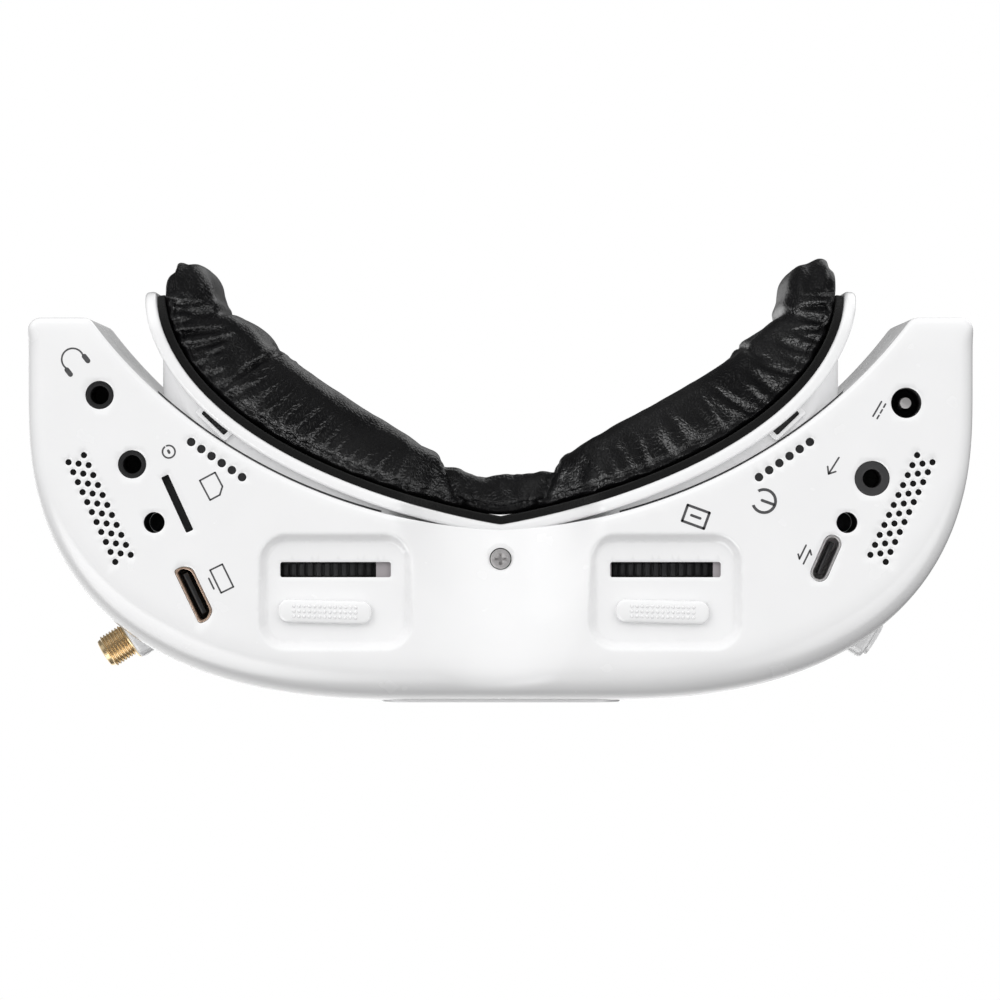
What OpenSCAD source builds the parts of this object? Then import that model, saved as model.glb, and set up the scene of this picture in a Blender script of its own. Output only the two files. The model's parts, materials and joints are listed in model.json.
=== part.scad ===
// Video goggles for flying a drone, worn on the face. +Z is up as worn, -Y is the front, +X is the
// wearer's left. The origin is under the middle of the whole object, on the plane it rests on.

/* [Casing] */
// Width across the two wings
casing_w = 180.5; // [176:0.5:186]
// Height of the casing at its middle
casing_h = 55; // [54:0.5:58]
// Drop of the roof from the middle to the wing tips
roof_drop = 9; // [4:0.5:12]
// Wall thickness
wall = 2; // [1.8:0.1:2.2]
// Rounding of the lower and upper front edges
front_edge_r = 8; // [6:0.5:9]
// Height of the parting line between the two half shells
split_z = 27; // [26:0.5:30]
// Depth of the two thumb pockets in the underside
pocket_depth = 2; // [1.5:0.1:2]
// Height of the nose arch at the back of the underside
arch_h = 10; // [6:0.5:10]

/* [Face side] */
// Top of the faceplate
faceplate_top = 60; // [58:0.5:62]
// Thickness of the faceplate
faceplate_t = 2.3; // [2:0.1:2.6]
// Thickness of the padding over the cheeks
pad_t = 11.5; // [10:0.5:12]
// Thickness of the padding over the nose
pad_nose_t = 6.5; // [5:0.5:7]

/* [Optics] */
// Distance of the wearer's left eyepiece from the middle
left_eye_x = 33.5; // [30:0.1:35]
// Distance of the wearer's right eyepiece from the middle
right_eye_x = 30.9; // [30:0.1:35]
// Height of the optical axes
eye_z = 25.5; // [25:0.1:26]
// Outer radius of the focus wheels
wheel_r = 23.2; // [22.5:0.1:23.2]
// Outer radius of the eyepiece barrels
barrel_r = 16.6; // [16:0.1:16.6]

/* [Connectors] */
// Radius of the plug holes of the 3.5 mm jacks
jack_bore_r = 1.8; // [1.75:0.01:1.85]
// Radius of the hole of the power jack
power_bore_r = 2.75; // [2.7:0.05:2.8]
// Outer radius of the threaded antenna connector
antenna_r = 3.17; // [3.1:0.01:3.2]
// Length of antenna thread that stands out of the casing
antenna_out = 4.6; // [4:0.1:6]

/* [Hidden] */

$fn = 48;
eps = 0.01;
gap = 0.1;
half_w = casing_w / 2;

// Plan of the casing: a flat front, a shoulder curve, straight wing sides and a curved back.
front_y = -41.7;
front_flat = 16.7;
shoulder_y = 17.1;
shoulder_power = 2.56;
tip_y = 31.6;
tip_r = 2.5;
tip_inner = [77.4, 30.2];
back_a = [0, -9];
back_b = [33, -7.6];
back_c = [61, 8.5];

// Plan of the faceplate's front side, and the ends of the padding.
face_a = [0, -10.3];
face_b = [20.4, -6.9];
face_c = [66.6, 6.4];
face_d = [68.4, 36.8];
pad_end_x = 59.2;
pad_end_y = 42.2;
pad_end_r = 5.7;
backing_t = 1.5;
faceplate_bottom = 2;

// Thumb pockets, wheel slots and slider knobs.
pocket_x = 31.4;
pocket_y = -20.7;
pocket_size = [28.4, 21.1];
slot_x = 31.5;
slot_y = -16.5;
slot_size = [21.1, 2.9];
knob_y = -24.5;
knob_size = [17.8, 4.4];
floor_wall = 1.2;
floor_z = pocket_depth;
shutter_z = floor_z + floor_wall + 0.1;
shutter_t = 0.7;
wheel_t = 2.4;
barrel_wall = 1.5;
barrel_front_y = -33;
barrel_back_y = -12;
cell_back_y = -9;
rail_r = 1.25;
rail_y = -31;
rail_z = [6.8, 44.5];

// Connectors in the underside of the wings.
port_board_z = 13.5;
board_t = 1.2;
headphone_at = [76.4, 16.8];
av_at = [70.2, 3.6];
tracker_at = [-70.8, 0.9];
power_at = [-77.3, 15.3];
power_mouth_r = 2.9;
video_at = [58.3, -21.0];
video_turn = 64.4;
usb_at = [-62.0, -14.3];
usb_turn = -66.4;
card_at = [61.6, -3.9];
card_turn = 65.5;
well_x = 66;
well_y = -7.5;
well_r = 2;
boss_r = 3;
antenna_at = [71.9, -30.0, 18];
antenna_turn = -32.1;
side_wheel_at = [77.6, -13.6, 28];
side_wheel_r = 7;
side_wheel_t = 5;
nose_screw_y = -14.5;
speaker_turn = 65;

// Buttons on the roof: place and radius.
power_button_at = [-34, -24];
record_button_at = [34, -24];
mode_button_at = [-20, -28];
menu_button_at = [20, -28];
large_button_r = 4.5;
small_button_r = 3;

function bezier(a, b, c, d, t) =
    pow(1 - t, 3) * a + 3 * pow(1 - t, 2) * t * b + 3 * (1 - t) * t * t * c + pow(t, 3) * d;
function clamp(x) = min(max(x, 0), 1);
function reverse(list) = [for (i = [len(list) - 1:-1:0]) list[i]];
function flip(p) = [-p[0], p[1]];
function unit(v) = v / norm(v);

shoulder_steps = 20;
function shoulder(a) = [
    front_flat + (half_w - front_flat) * pow(sin(a), 2 / shoulder_power),
    shoulder_y - (shoulder_y - front_y) * pow(cos(a), 2 / shoulder_power)
];
outer_half = concat(
    [for (i = [0:2]) [front_flat * i / 3, front_y]],
    [for (i = [0:shoulder_steps]) shoulder(90 * i / shoulder_steps)],
    [for (i = [1:2]) [half_w, shoulder_y + (tip_y - tip_r - shoulder_y) * i / 3]],
    [for (a = [0:22.5:90]) [half_w - tip_r + tip_r * cos(a), tip_y - tip_r + tip_r * sin(a)]]
);
back_steps = len(outer_half) - 4;
inner_half = concat(
    [for (i = [0:back_steps]) bezier(back_a, back_b, back_c, tip_inner, i / back_steps)],
    [tip_inner + [0.6, 0.8], tip_inner + [1.4, 1.3], tip_inner + [2.4, tip_y - tip_inner[1]]]
);
half_n = len(outer_half);
half_loop = concat(outer_half, reverse(inner_half));
loop_n = 4 * half_n - 2;
loop = concat(half_loop, [for (k = [1:2 * half_n - 2]) flip(half_loop[2 * half_n - 1 - k])]);

function tangent(k) = loop[(k + 1) % loop_n] - loop[(k + loop_n - 1) % loop_n];
function outward(k) = unit([tangent(k)[1], -tangent(k)[0]]);
function is_outer(k) = k < half_n || k > loop_n - half_n;
function edge_r(k) =
    !is_outer(k) ? 1.2
    : loop[k][1] > tip_y - tip_r - 0.1 ? 1.6
    : 3.4 + (front_edge_r - 3.4) * clamp((2 - loop[k][1]) / 34);
function roof(x) = casing_h - roof_drop * pow(clamp((abs(x) - 40) / (half_w - 40)), 2);

// One ring of the casing: the plan pulled in by inset, and by the rounding of the edge.
edge_steps = 4;
function ring(inset, bottom, step) = [
    for (k = [0:loop_n - 1])
        let (r = max(edge_r(k) - inset, 0.5))
        let (a = 90 * step / edge_steps)
        let (p = loop[k] - outward(k) * (inset + r * (1 - sin(a))))
        let (rise = r * (1 - cos(a)))
        [p[0], p[1], bottom ? inset + rise : roof(p[0]) - inset - rise]
];

// The solid crescent inside the plan, pulled in by inset on all sides.
module crescent(inset) {
    rings = concat(
        [for (s = [0:edge_steps]) ring(inset, true, s)],
        [for (s = [edge_steps:-1:0]) ring(inset, false, s)]
    );
    last = len(rings) - 1;
    function at(m, k) = m * loop_n + k % loop_n;
    function rib_inner(i) = 2 * half_n - 1 - i;
    function other(k) = (loop_n - k) % loop_n;
    sides = [
        for (m = [0:last - 1]) for (k = [0:loop_n - 1])
            each [[at(m, k), at(m + 1, k), at(m + 1, k + 1)], [at(m, k), at(m + 1, k + 1), at(m, k + 1)]]
    ];
    function cap(m, a, b, c, d) =
        m == 0 ? [[at(m, a), at(m, b), at(m, c)], [at(m, a), at(m, c), at(m, d)]]
               : [[at(m, a), at(m, c), at(m, b)], [at(m, a), at(m, d), at(m, c)]];
    caps = [
        for (m = [0, last]) for (i = [0:half_n - 2])
            each concat(
                cap(m, i, i + 1, rib_inner(i + 1), rib_inner(i)),
                cap(m, other(i), other(rib_inner(i)), other(rib_inner(i + 1)), other(i + 1))
            )
    ];
    polyhedron(points = [for (r = rings) each r], faces = concat(sides, caps), convexity = 6);
}

// Copies its child to the other side of the middle plane.
module both_sides() {
    children();
    mirror([1, 0, 0]) children();
}

module rounded_plate(size, r, h) {
    linear_extrude(h) hull() {
        for (x = [-1, 1]) for (y = [-1, 1])
            translate([x * (size[0] / 2 - r), y * (size[1] / 2 - r)]) circle(r, $fn = 24);
    }
}

// The hollow under the nose: a cone-like vault that runs out towards the front.
module arch(skin) {
    vault_r = 23;
    back_z = arch_h - vault_r;
    front_z = -vault_r;
    hull() {
        translate([0, 4, back_z + 3]) rotate([90, 0, 0]) cylinder(h = eps, r = vault_r + skin, $fn = 72);
        translate([0, -37, front_z]) rotate([90, 0, 0]) cylinder(h = eps, r = vault_r + skin, $fn = 72);
    }
}

module at_wing_port(at, turn) {
    translate([at[0], at[1], 0]) rotate(turn) children();
}

module vent_row(r, h) {
    for (i = [0:5])
        translate([59.3 - 1.94 * i, 8.05 - 1.34 * i, -1]) cylinder(h = h, r = r, $fn = 12);
}

// Sound holes: a slanted block of small holes, three abreast.
module sound_holes(r, h) {
    for (row = [0:11]) for (col = [0:2])
        if (row + col > 1 && row + col < 13 && !(row == 0 && col < 2) && !(row == 11 && col > 0))
            translate([83.5 - 0.89 * row - 1.91 * col, 6.3 - 1.9 * row - 0.28 * col, -1])
                cylinder(h = h, r = r, $fn = 8);
}

module underside_cuts() {
    both_sides() {
        translate([pocket_x, pocket_y, -1]) rounded_plate(pocket_size, 4.8, 1 + floor_z);
        translate([slot_x, slot_y, 0]) rounded_plate(slot_size, 0.3, 6);
        translate([well_x, well_y, -1]) cylinder(h = 17, r = well_r);
        translate([well_x, well_y, 0]) cylinder(h = split_z + 1, r = 1.3);
        vent_row(0.82, 5);
        sound_holes(0.55, 5);
    }
    translate([left_eye_x, knob_y, 0]) rounded_plate([14, 2.8], 0.3, 6);
    translate([-right_eye_x - 1.6, knob_y, 0]) rounded_plate([14, 2.8], 0.3, 6);
    for (at = [headphone_at, av_at]) translate([at[0], at[1], -1]) cylinder(h = 6, r = 2.6 + gap);
    translate([tracker_at[0], tracker_at[1], -1]) cylinder(h = 6, r = 3.25 + gap);
    translate([power_at[0], power_at[1], -1]) cylinder(h = 6, r = power_mouth_r);
    translate([0, 0, -1]) at_wing_port(video_at, video_turn) video_outline(6, gap);
    translate([0, 0, -1]) at_wing_port(usb_at, usb_turn) rounded_plate([9.2 + 2 * gap, 3.3 + 2 * gap], 1.6, 6);
    translate([0, 0, -1]) at_wing_port(card_at, card_turn) rounded_plate([11.6, 1.5], 0.2, 6);
    translate([0, nose_screw_y, -1]) cylinder(h = 30, r = 1.3);
    translate([0, nose_screw_y, -1]) cylinder(h = 8.6, r = 2.1);
}

// The side wheels look out through a window in the wing's side wall.
module side_wheel_window() {
    translate(side_wheel_at) translate([0, 0, -side_wheel_t / 2 - 0.5])
        cylinder(h = side_wheel_t + 1, r = side_wheel_r + 0.6);
}

// Slots through the wing's side and end for the head strap.
module strap_cuts() {
    strap_z = [6.5, 39];
    translate([half_w - 5, 22.5, strap_z[0]]) cube([10, 4.5, strap_z[1] - strap_z[0]]);
    translate([81.3, tip_y - 5, strap_z[0]]) cube([4.5, 10, strap_z[1] - strap_z[0]]);
}

module casing_openings() {
    translate([-58, -14, 7]) cube([116, 44, 41]);
    translate([0, front_y - 2, 27.5]) rotate([-90, 0, 0]) rounded_plate([46.4, 41.4], 5.2, 6);
    both_sides() {
        strap_cuts();
        side_wheel_window();
    }
    translate(antenna_at) rotate([0, 90, antenna_turn]) translate([0, 0, -6]) cylinder(h = 14, r = antenna_r + gap);
    mirror([1, 0, 0]) translate(antenna_at) rotate([0, 90, antenna_turn]) translate([0, 0, -6])
        cylinder(h = 14, r = 2.6);
}

// A small flat boss on the corner of the casing, for an antenna connector.
module antenna_boss() {
    translate(antenna_at) rotate([0, 90, antenna_turn]) translate([0, 0, -4])
        rounded_plate([10, 9], 2, 4);
}

module casing_solid() {
    crescent(0);
    both_sides() antenna_boss();
}

// The space inside the casing, without the bosses that stand in it.
module casing_hollow() {
    difference() {
        crescent(wall);
        arch(wall);
        both_sides() {
            translate([pocket_x, pocket_y, 0]) rounded_plate(pocket_size + [2, 2], 5.5, floor_z + floor_wall);
            translate([well_x, well_y, 0]) cylinder(h = casing_h, r = boss_r, $fn = 24);
            for (z = rail_z) translate([52.5, rail_y, 0]) rail_block(z);
        }
        translate([0, nose_screw_y, 0]) cylinder(h = 14, r = boss_r, $fn = 24);
    }
}

module rail_block(z) {
    low = z < split_z ? 0 : z - 3;
    high = z < split_z ? z + 3 : casing_h;
    translate([-1.5, -2.6, low]) cube([3, 5.2, high - low]);
}

module rail_holes() {
    for (z = rail_z) translate([-53, rail_y, z]) rotate([0, 90, 0]) cylinder(h = 106, r = rail_r + 0.1);
}

module lower_shell() {
    color("white") difference() {
        intersection() {
            casing_solid();
            translate([-100, -60, -1]) cube([200, 120, split_z + 1]);
        }
        casing_hollow();
        arch(0);
        underside_cuts();
        casing_openings();
        rail_holes();
    }
}

// The roof's back edge gives way to the faceplate over the nose.
module faceplate_notch() {
    translate([0, 0, 46]) linear_extrude(20) face_band(-0.15, faceplate_t + 0.15, 0.4);
}

module button_holes() {
    for (at = [power_button_at, record_button_at])
        translate([at[0], at[1], casing_h - 5]) cylinder(h = 8, r = large_button_r + gap);
    for (at = [mode_button_at, menu_button_at])
        translate([at[0], at[1], casing_h - 5]) cylinder(h = 8, r = small_button_r + gap);
}

module upper_shell() {
    color("white") difference() {
        intersection() {
            casing_solid();
            translate([-100, -60, split_z]) cube([200, 120, 60]);
        }
        casing_hollow();
        casing_openings();
        faceplate_notch();
        button_holes();
        rail_holes();
        both_sides() translate([well_x, well_y, split_z - 1]) cylinder(h = 8, r = 1.2);
    }
}

// The plate over the electronics in the middle of the front.
cover_size = [46, 41];
cover_front_y = front_y - 0.35;
module front_cover() {
    color("whitesmoke") difference() {
        translate([0, cover_front_y, 27.5]) rotate([-90, 0, 0]) rounded_plate(cover_size, 5, 2.2);
        translate([camera_x, cover_front_y - 1, camera_z]) rotate([-90, 0, 0]) cylinder(h = 6, r = 6.7 + gap);
        translate([light_x, cover_front_y + 1.2, light_z]) cube([5.6 + 2 * gap, 6, 3 + 2 * gap], center = true);
    }
}

camera_x = -3.6;
camera_z = 27;
light_x = -19;
light_z = 12;
module camera_window() {
    color("dimgray") translate([camera_x, -pad_end_y, camera_z]) rotate([-90, 0, 0]) cylinder(h = 2.3, r = 6.7);
}

module status_light() {
    color("lightgray") translate([light_x, cover_front_y + 1.35, light_z]) cube([5.6, 1.8, 3], center = true);
}

// Plan curves of the face side, from the middle to the tip.
face_steps = 24;
function face_at(t) = bezier(face_a, face_b, face_c, face_d, t);
function face_normal(t) =
    let (v = face_at(min(t + 0.01, 1)) - face_at(max(t - 0.01, 0)))
    t < 0.001 ? [0, 1] : unit([-v[1], v[0]]);
function face_offset(t, d) = face_at(t) + face_normal(t) * d;
function pad_depth(t) = pad_nose_t + (pad_t - pad_nose_t) * pow(sin(90 * clamp((t - 0.06) / 0.26)), 2);
function mirrored_outline(near, far) = concat(
    reverse([for (i = [1:len(near) - 1]) flip(near[i])]), near,
    reverse(far), [for (i = [1:len(far) - 1]) flip(far[i])]
);
module face_band(from, to, end) {
    steps = [for (i = [0:face_steps]) end * i / face_steps];
    near = [for (t = steps) face_offset(t, from)];
    far = [for (t = steps) face_offset(t, to < 0 ? from + pad_depth(t) : to)];
    polygon(mirrored_outline(near, far));
}

// Front outlines of the face side, seen along Y.
module face_ring(width, low, high, corner, border, side) {
    difference() {
        hull() for (x = [-1, 1]) for (z = [low + corner, high - corner])
            translate([x * (width / 2 - corner), z]) circle(corner, $fn = 40);
        translate([0, -8]) circle(21.5 + (low - faceplate_bottom), $fn = 64);
        difference() {
            hull() for (x = [-1, 1]) for (z = [low + border + 8, high - border - 8])
                translate([x * (width / 2 - side - 8), z]) circle(8, $fn = 32);
            translate([0, -8]) circle(21.5 + border, $fn = 64);
        }
    }
}

module through_face(h = 120) {
    translate([0, 60, 0]) rotate([90, 0, 0]) linear_extrude(h) children();
}

skirt_x = 65.2;
skirt_low = 5;
skirt_high = 50;
module skirt_plan() {
    steps = [for (i = [0:face_steps]) i / face_steps];
    near = [for (t = steps) bezier(back_a, back_b, back_c, tip_inner, t) + [0, 0.15]];
    far = [for (t = steps) face_at(t) + [0, 0.8]];
    intersection() {
        polygon(mirrored_outline(near, far));
        translate([-skirt_x, -8]) square([2 * skirt_x, 60]);
    }
}

vent_at = [54.6, 10.4];
vent_turn = 37;
module faceplate() {
    color("white") difference() {
        union() {
            intersection() {
                linear_extrude(70) face_band(0, faceplate_t, 1);
                through_face() face_ring(140, faceplate_bottom, faceplate_top, 16, 10, 13);
            }
            intersection() {
                linear_extrude(70) skirt_plan();
                through_face() face_ring(2 * skirt_x, skirt_low, skirt_high, 8, 7, 7);
            }
            both_sides() translate([vent_at[0], vent_at[1], skirt_low - 0.8]) rotate(vent_turn)
                translate([-3.6, -1.1, 0]) cube([7.2, 2.2, 1.2]);
        }
        both_sides() translate([vent_at[0], vent_at[1], 0]) rotate(vent_turn)
            translate([-2.7, -0.6, 0]) cube([5.4, 1.2, 14]);
    }
}

module pad_backing() {
    from = faceplate_t + 0.05;
    color("black") intersection() {
        linear_extrude(70) face_band(from, from + backing_t, 0.985);
        through_face() face_ring(136, faceplate_bottom + 1.2, faceplate_top - 1.2, 15, 9.5, 12.5);
    }
}

module face_pad() {
    from = faceplate_t + backing_t + 0.25;
    color("#1a1a1a") intersection() {
        linear_extrude(70) difference() {
            union() {
                face_band(from, -1, 0.985);
                translate([pad_end_x, pad_end_y - pad_end_r]) circle(pad_end_r);
                translate([-pad_end_x, pad_end_y - pad_end_r]) circle(pad_end_r);
            }
            face_band(-1, from - 0.02, 1);
        }
        through_face() face_ring(132, faceplate_bottom + 1.5, faceplate_top - 1.5, 15, 11.5, 13.5);
    }
}

module screw(head_r, head_h, shank_r, shank_l) {
    difference() {
        cylinder(h = head_h, r = head_r);
        for (a = [0, 90]) rotate(a) translate([-head_r * 0.6, -0.3, -1]) cube([head_r * 1.2, 0.6, 1.7]);
    }
    translate([0, 0, head_h]) cylinder(h = shank_l, r = shank_r);
}

module nose_screw() {
    color("silver") translate([0, nose_screw_y, 6.3]) screw(1.92, 1.2, 1.15, 6);
}

module case_screws() {
    color("dimgray") both_sides() translate([well_x, well_y, 14]) screw(1.85, 1.6, 1.1, 16);
}

// The tube of one eyepiece, with the lugs that slide on the two rails.
module barrel(x) {
    color("#262626") translate([x, 0, 0]) difference() {
        union() {
            translate([0, barrel_back_y, eye_z]) rotate([90, 0, 0])
                cylinder(h = barrel_back_y - barrel_front_y, r = barrel_r);
            for (z = rail_z) {
                low = z < eye_z ? shutter_z + shutter_t : z - 4.5;
                high = z < eye_z ? z + 4.5 : z + 2.4;
                translate([-4, rail_y - 2, low]) cube([8, 6, high - low]);
            }
        }
        translate([0, barrel_back_y + 1, eye_z]) rotate([90, 0, 0])
            cylinder(h = barrel_back_y - barrel_front_y + 2, r = barrel_r - barrel_wall);
        for (z = rail_z) translate([-5, rail_y, z]) rotate([0, 90, 0]) cylinder(h = 10, r = rail_r + 0.05);
    }
}
module left_barrel() { barrel(left_eye_x); }
module right_barrel() { barrel(-right_eye_x); }

cell_r = barrel_r - barrel_wall - 0.08;
cell_front_y = -22;
lens_r = cell_r - 1.6;
module lens_cell(x) {
    color("#1f1f1f") translate([x, cell_back_y, eye_z]) rotate([90, 0, 0]) difference() {
        cylinder(h = cell_back_y - cell_front_y, r = cell_r);
        translate([0, 0, -1]) cylinder(h = 6, r = lens_r);
        translate([0, 0, -1]) cylinder(h = 20, r = lens_r - 1.2);
    }
}
module left_lens_cell() { lens_cell(left_eye_x); }
module right_lens_cell() { lens_cell(-right_eye_x); }

// A glass lens, thicker in the middle on both sides.
lens_steps = 8;
module lens(x) {
    rim_t = 1.4;
    crown = 1.3;
    r = lens_r - 0.05;
    function bulge(u) = crown * (1 - u * u);
    face = [for (i = [0:lens_steps]) let (u = i / lens_steps) [r * u, rim_t / 2 + bulge(u)]];
    back = [for (i = [lens_steps:-1:0]) let (u = i / lens_steps) [r * u, -rim_t / 2 - bulge(u)]];
    color("lightblue", 0.5) translate([x, cell_back_y - 3, eye_z]) rotate([90, 0, 0])
        rotate_extrude($fn = 96) polygon(concat(face, back));
}
module left_eyepiece_lens() { lens(left_eye_x); }
module right_eyepiece_lens() { lens(-right_eye_x); }

module lens_retainer(x) {
    color("black") translate([x, cell_back_y, eye_z]) rotate([90, 0, 0]) difference() {
        cylinder(h = 0.9, r = lens_r - 0.05);
        translate([0, 0, -1]) cylinder(h = 3, r = lens_r - 1.6);
    }
}
module left_lens_retainer() { lens_retainer(left_eye_x); }
module right_lens_retainer() { lens_retainer(-right_eye_x); }

module display(x) {
    color("#30343a") translate([x - 13, barrel_front_y - 3.6, eye_z - 10]) cube([26, 3.6, 20]);
}
module left_display() { display(left_eye_x); }
module right_display() { display(-right_eye_x); }

// A ribbed wheel around the barrel: turning it moves the eyepiece to and fro.
wheel_ribs = 90;
rib_depth = 0.7;
module focus_wheel(x) {
    pitch = 360 / wheel_ribs;
    outline = [
        for (i = [0:wheel_ribs - 1]) each [
            for (c = [[0, 0], [0.5, 0], [0.6, 1], [0.9, 1]])
                let (a = pitch * (i + c[0]))
                let (r = wheel_r - rib_depth * c[1])
                [r * cos(a), r * sin(a)]
        ]
    ];
    color("#151515") translate([x, slot_y + wheel_t / 2, eye_z]) rotate([90, 0, 0]) difference() {
        linear_extrude(wheel_t) polygon(outline);
        translate([0, 0, -1]) cylinder(h = wheel_t + 2, r = barrel_r + 0.06);
    }
}
module left_focus_wheel() { focus_wheel(left_eye_x); }
module right_focus_wheel() { focus_wheel(-right_eye_x); }

// The thumb slider under each eye: a knob outside, and inside it a shutter with a window for the wheel.
module eye_slider(x) {
    shutter = [25.4, 17.5];
    window = [19.4, 3.6];
    color("white") translate([x, knob_y, 0]) union() {
        translate([0, 0, 0.35]) rounded_plate(knob_size, knob_size[1] / 2, floor_z - 0.45);
        translate([-2, -1.1, floor_z - 0.2]) cube([4, 2.2, shutter_z - floor_z + 0.3]);
        for (col = [-6:6]) for (row = [-1:1])
            translate([col * 0.98, row * 1.0, 0.15]) cylinder(h = 0.4, r = 0.3, $fn = 16);
        difference() {
            translate([-shutter[0] / 2, -3.2, shutter_z]) cube([shutter[0], shutter[1] - 3.2, shutter_t]);
            translate([-window[0] / 2, slot_y - knob_y - window[1] / 2, shutter_z - 1])
                cube([window[0], window[1], 4]);
        }
    }
}
module left_eye_slider() { eye_slider(left_eye_x); }
module right_eye_slider() { mirror([1, 0, 0]) eye_slider(right_eye_x); }

module eye_rails() {
    color("silver") for (z = rail_z)
        translate([-53, rail_y, z]) rotate([0, 90, 0]) cylinder(h = 106, r = rail_r);
}

module main_board() {
    color("darkgreen") translate([-46, -36, 49]) cube([92, 24, board_t]);
}

// The boards that carry the connectors, shaped like the wings.
module port_board() {
    keep_in = 4;
    shape = [for (i = [0:half_n - 1]) each [outer_half[i] - outward(i) * keep_in]];
    back = [for (i = [0:half_n - 1]) inner_half[i] - outward(2 * half_n - 1 - i) * keep_in];
    difference() {
        intersection() {
            linear_extrude(board_t) polygon(concat(shape, reverse(back)));
            translate([57, -25, -1]) cube([40, 49, 4]);
        }
        translate([well_x, well_y, -1]) cylinder(h = 4, r = 4);
    }
}
module left_port_board() { color("darkgreen") translate([0, 0, port_board_z]) port_board(); }
module right_port_board() { color("darkgreen") translate([0, 0, port_board_z]) mirror([1, 0, 0]) port_board(); }

module receiver_module() {
    color("silver") translate([60, -25, port_board_z + board_t]) cube([9.5, 12, 5]);
}

module button_switches() {
    color("gray") for (at = [power_button_at, record_button_at, mode_button_at, menu_button_at])
        translate([at[0] - 1.5, at[1] - 1.5, 49 + board_t]) cube([3, 3, 1]);
}

module antenna_axis() {
    translate(antenna_at) rotate([0, 90, antenna_turn]) children();
}
module antenna_connector() {
    color("goldenrod") antenna_axis() difference() {
        union() {
            cylinder(h = antenna_out, r = antenna_r);
            translate([0, 0, -4]) cylinder(h = 5, r = antenna_r - 0.3);
        }
        translate([0, 0, antenna_out - 3.4]) cylinder(h = 4, r = 2.3);
        translate([0, 0, -5]) cylinder(h = 20, r = 1.6);
    }
}
module antenna_insulator() {
    color("ivory") antenna_axis() difference() {
        translate([0, 0, -4]) cylinder(h = antenna_out + 1.2, r = 1.55);
        translate([0, 0, -5]) cylinder(h = 20, r = 0.65);
    }
}
module antenna_contact() {
    color("gold") antenna_axis() difference() {
        translate([0, 0, -4]) cylinder(h = antenna_out + 2.4, r = 0.6);
        translate([0, 0, 1]) cylinder(h = 4, r = 0.4);
    }
}
module antenna_blank() {
    color("gainsboro") mirror([1, 0, 0]) antenna_axis() union() {
        translate([0, 0, -3]) cylinder(h = 3.2, r = 2.5);
        cylinder(h = 0.8, r = 3.3);
    }
}

// A round jack: a collar in the casing's hole and a square body up to the board.
module round_jack(at, collar_r, body_w, bore_r) {
    translate([at[0], at[1], 0]) difference() {
        union() {
            if (collar_r > bore_r + 0.2) translate([0, 0, 0.3]) cylinder(h = 3, r = collar_r);
            translate([-body_w / 2, -body_w / 2, wall + 0.1]) cube([body_w, body_w, port_board_z - wall - 0.1]);
        }
        translate([0, 0, -1]) cylinder(h = 13, r = bore_r);
    }
}
module headphone_jack() { color("#181818") round_jack(headphone_at, 2.6, 6.2, jack_bore_r); }
module av_jack() { color("#181818") round_jack(av_at, 2.6, 6.2, jack_bore_r); }
module tracker_jack() { color("#3a3a3a") round_jack(tracker_at, 3.25, 6.8, jack_bore_r); }
module power_jack() { color("#101010") round_jack(power_at, power_mouth_r, 8.2, power_bore_r); }
module power_jack_pin() {
    color("silver") translate([power_at[0], power_at[1], 1.5]) cylinder(h = 10.5, r = 1.05);
}

// The outline of the flat video socket, with its two cut corners on one side.
module video_outline(h, grow) {
    l = 5.6 + grow;
    w = 1.65 + grow;
    linear_extrude(h) polygon([
        [-l, -w], [l, -w], [l, w * 0.25], [l - 1.1, w * 0.55], [l - 1.1, w],
        [-l + 1.1, w], [-l + 1.1, w * 0.55], [-l, w * 0.25]
    ]);
}
module video_port() {
    color("rosybrown") at_wing_port(video_at, video_turn) difference() {
        translate([0, 0, 0.1]) video_outline(port_board_z - 0.1, 0);
        translate([0, 0, -1]) video_outline(9, -0.35);
    }
}
module video_port_tongue() {
    color("black") at_wing_port(video_at, video_turn) translate([-4.2, -0.45, 1]) cube([8.4, 0.9, 7]);
}
module usb_port() {
    color("silver") at_wing_port(usb_at, usb_turn) difference() {
        translate([0, 0, 0.1]) rounded_plate([9.2, 3.3], 1.6, port_board_z - 0.1);
        translate([0, 0, -1]) rounded_plate([8.5, 2.6], 1.25, 8);
    }
}
module usb_port_tongue() {
    color("black") at_wing_port(usb_at, usb_turn) translate([-3.3, -0.35, 0.8]) cube([6.6, 0.7, 6.2]);
}
module card_socket() {
    color("silver") at_wing_port(card_at, card_turn) difference() {
        translate([-6.6, -1.3, wall + 0.1]) cube([13.2, 2.6, port_board_z - wall - 0.1]);
        translate([-5.6, -0.55, 0]) cube([11.2, 1.1, 11]);
    }
}

module speaker() {
    translate([78.1, -5.5, wall + 0.4]) rotate(speaker_turn) translate([-9, -4.4, 0]) cube([18, 8.8, 4]);
}
module left_speaker() { color("#222222") speaker(); }
module right_speaker() { color("#222222") mirror([1, 0, 0]) speaker(); }

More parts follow.
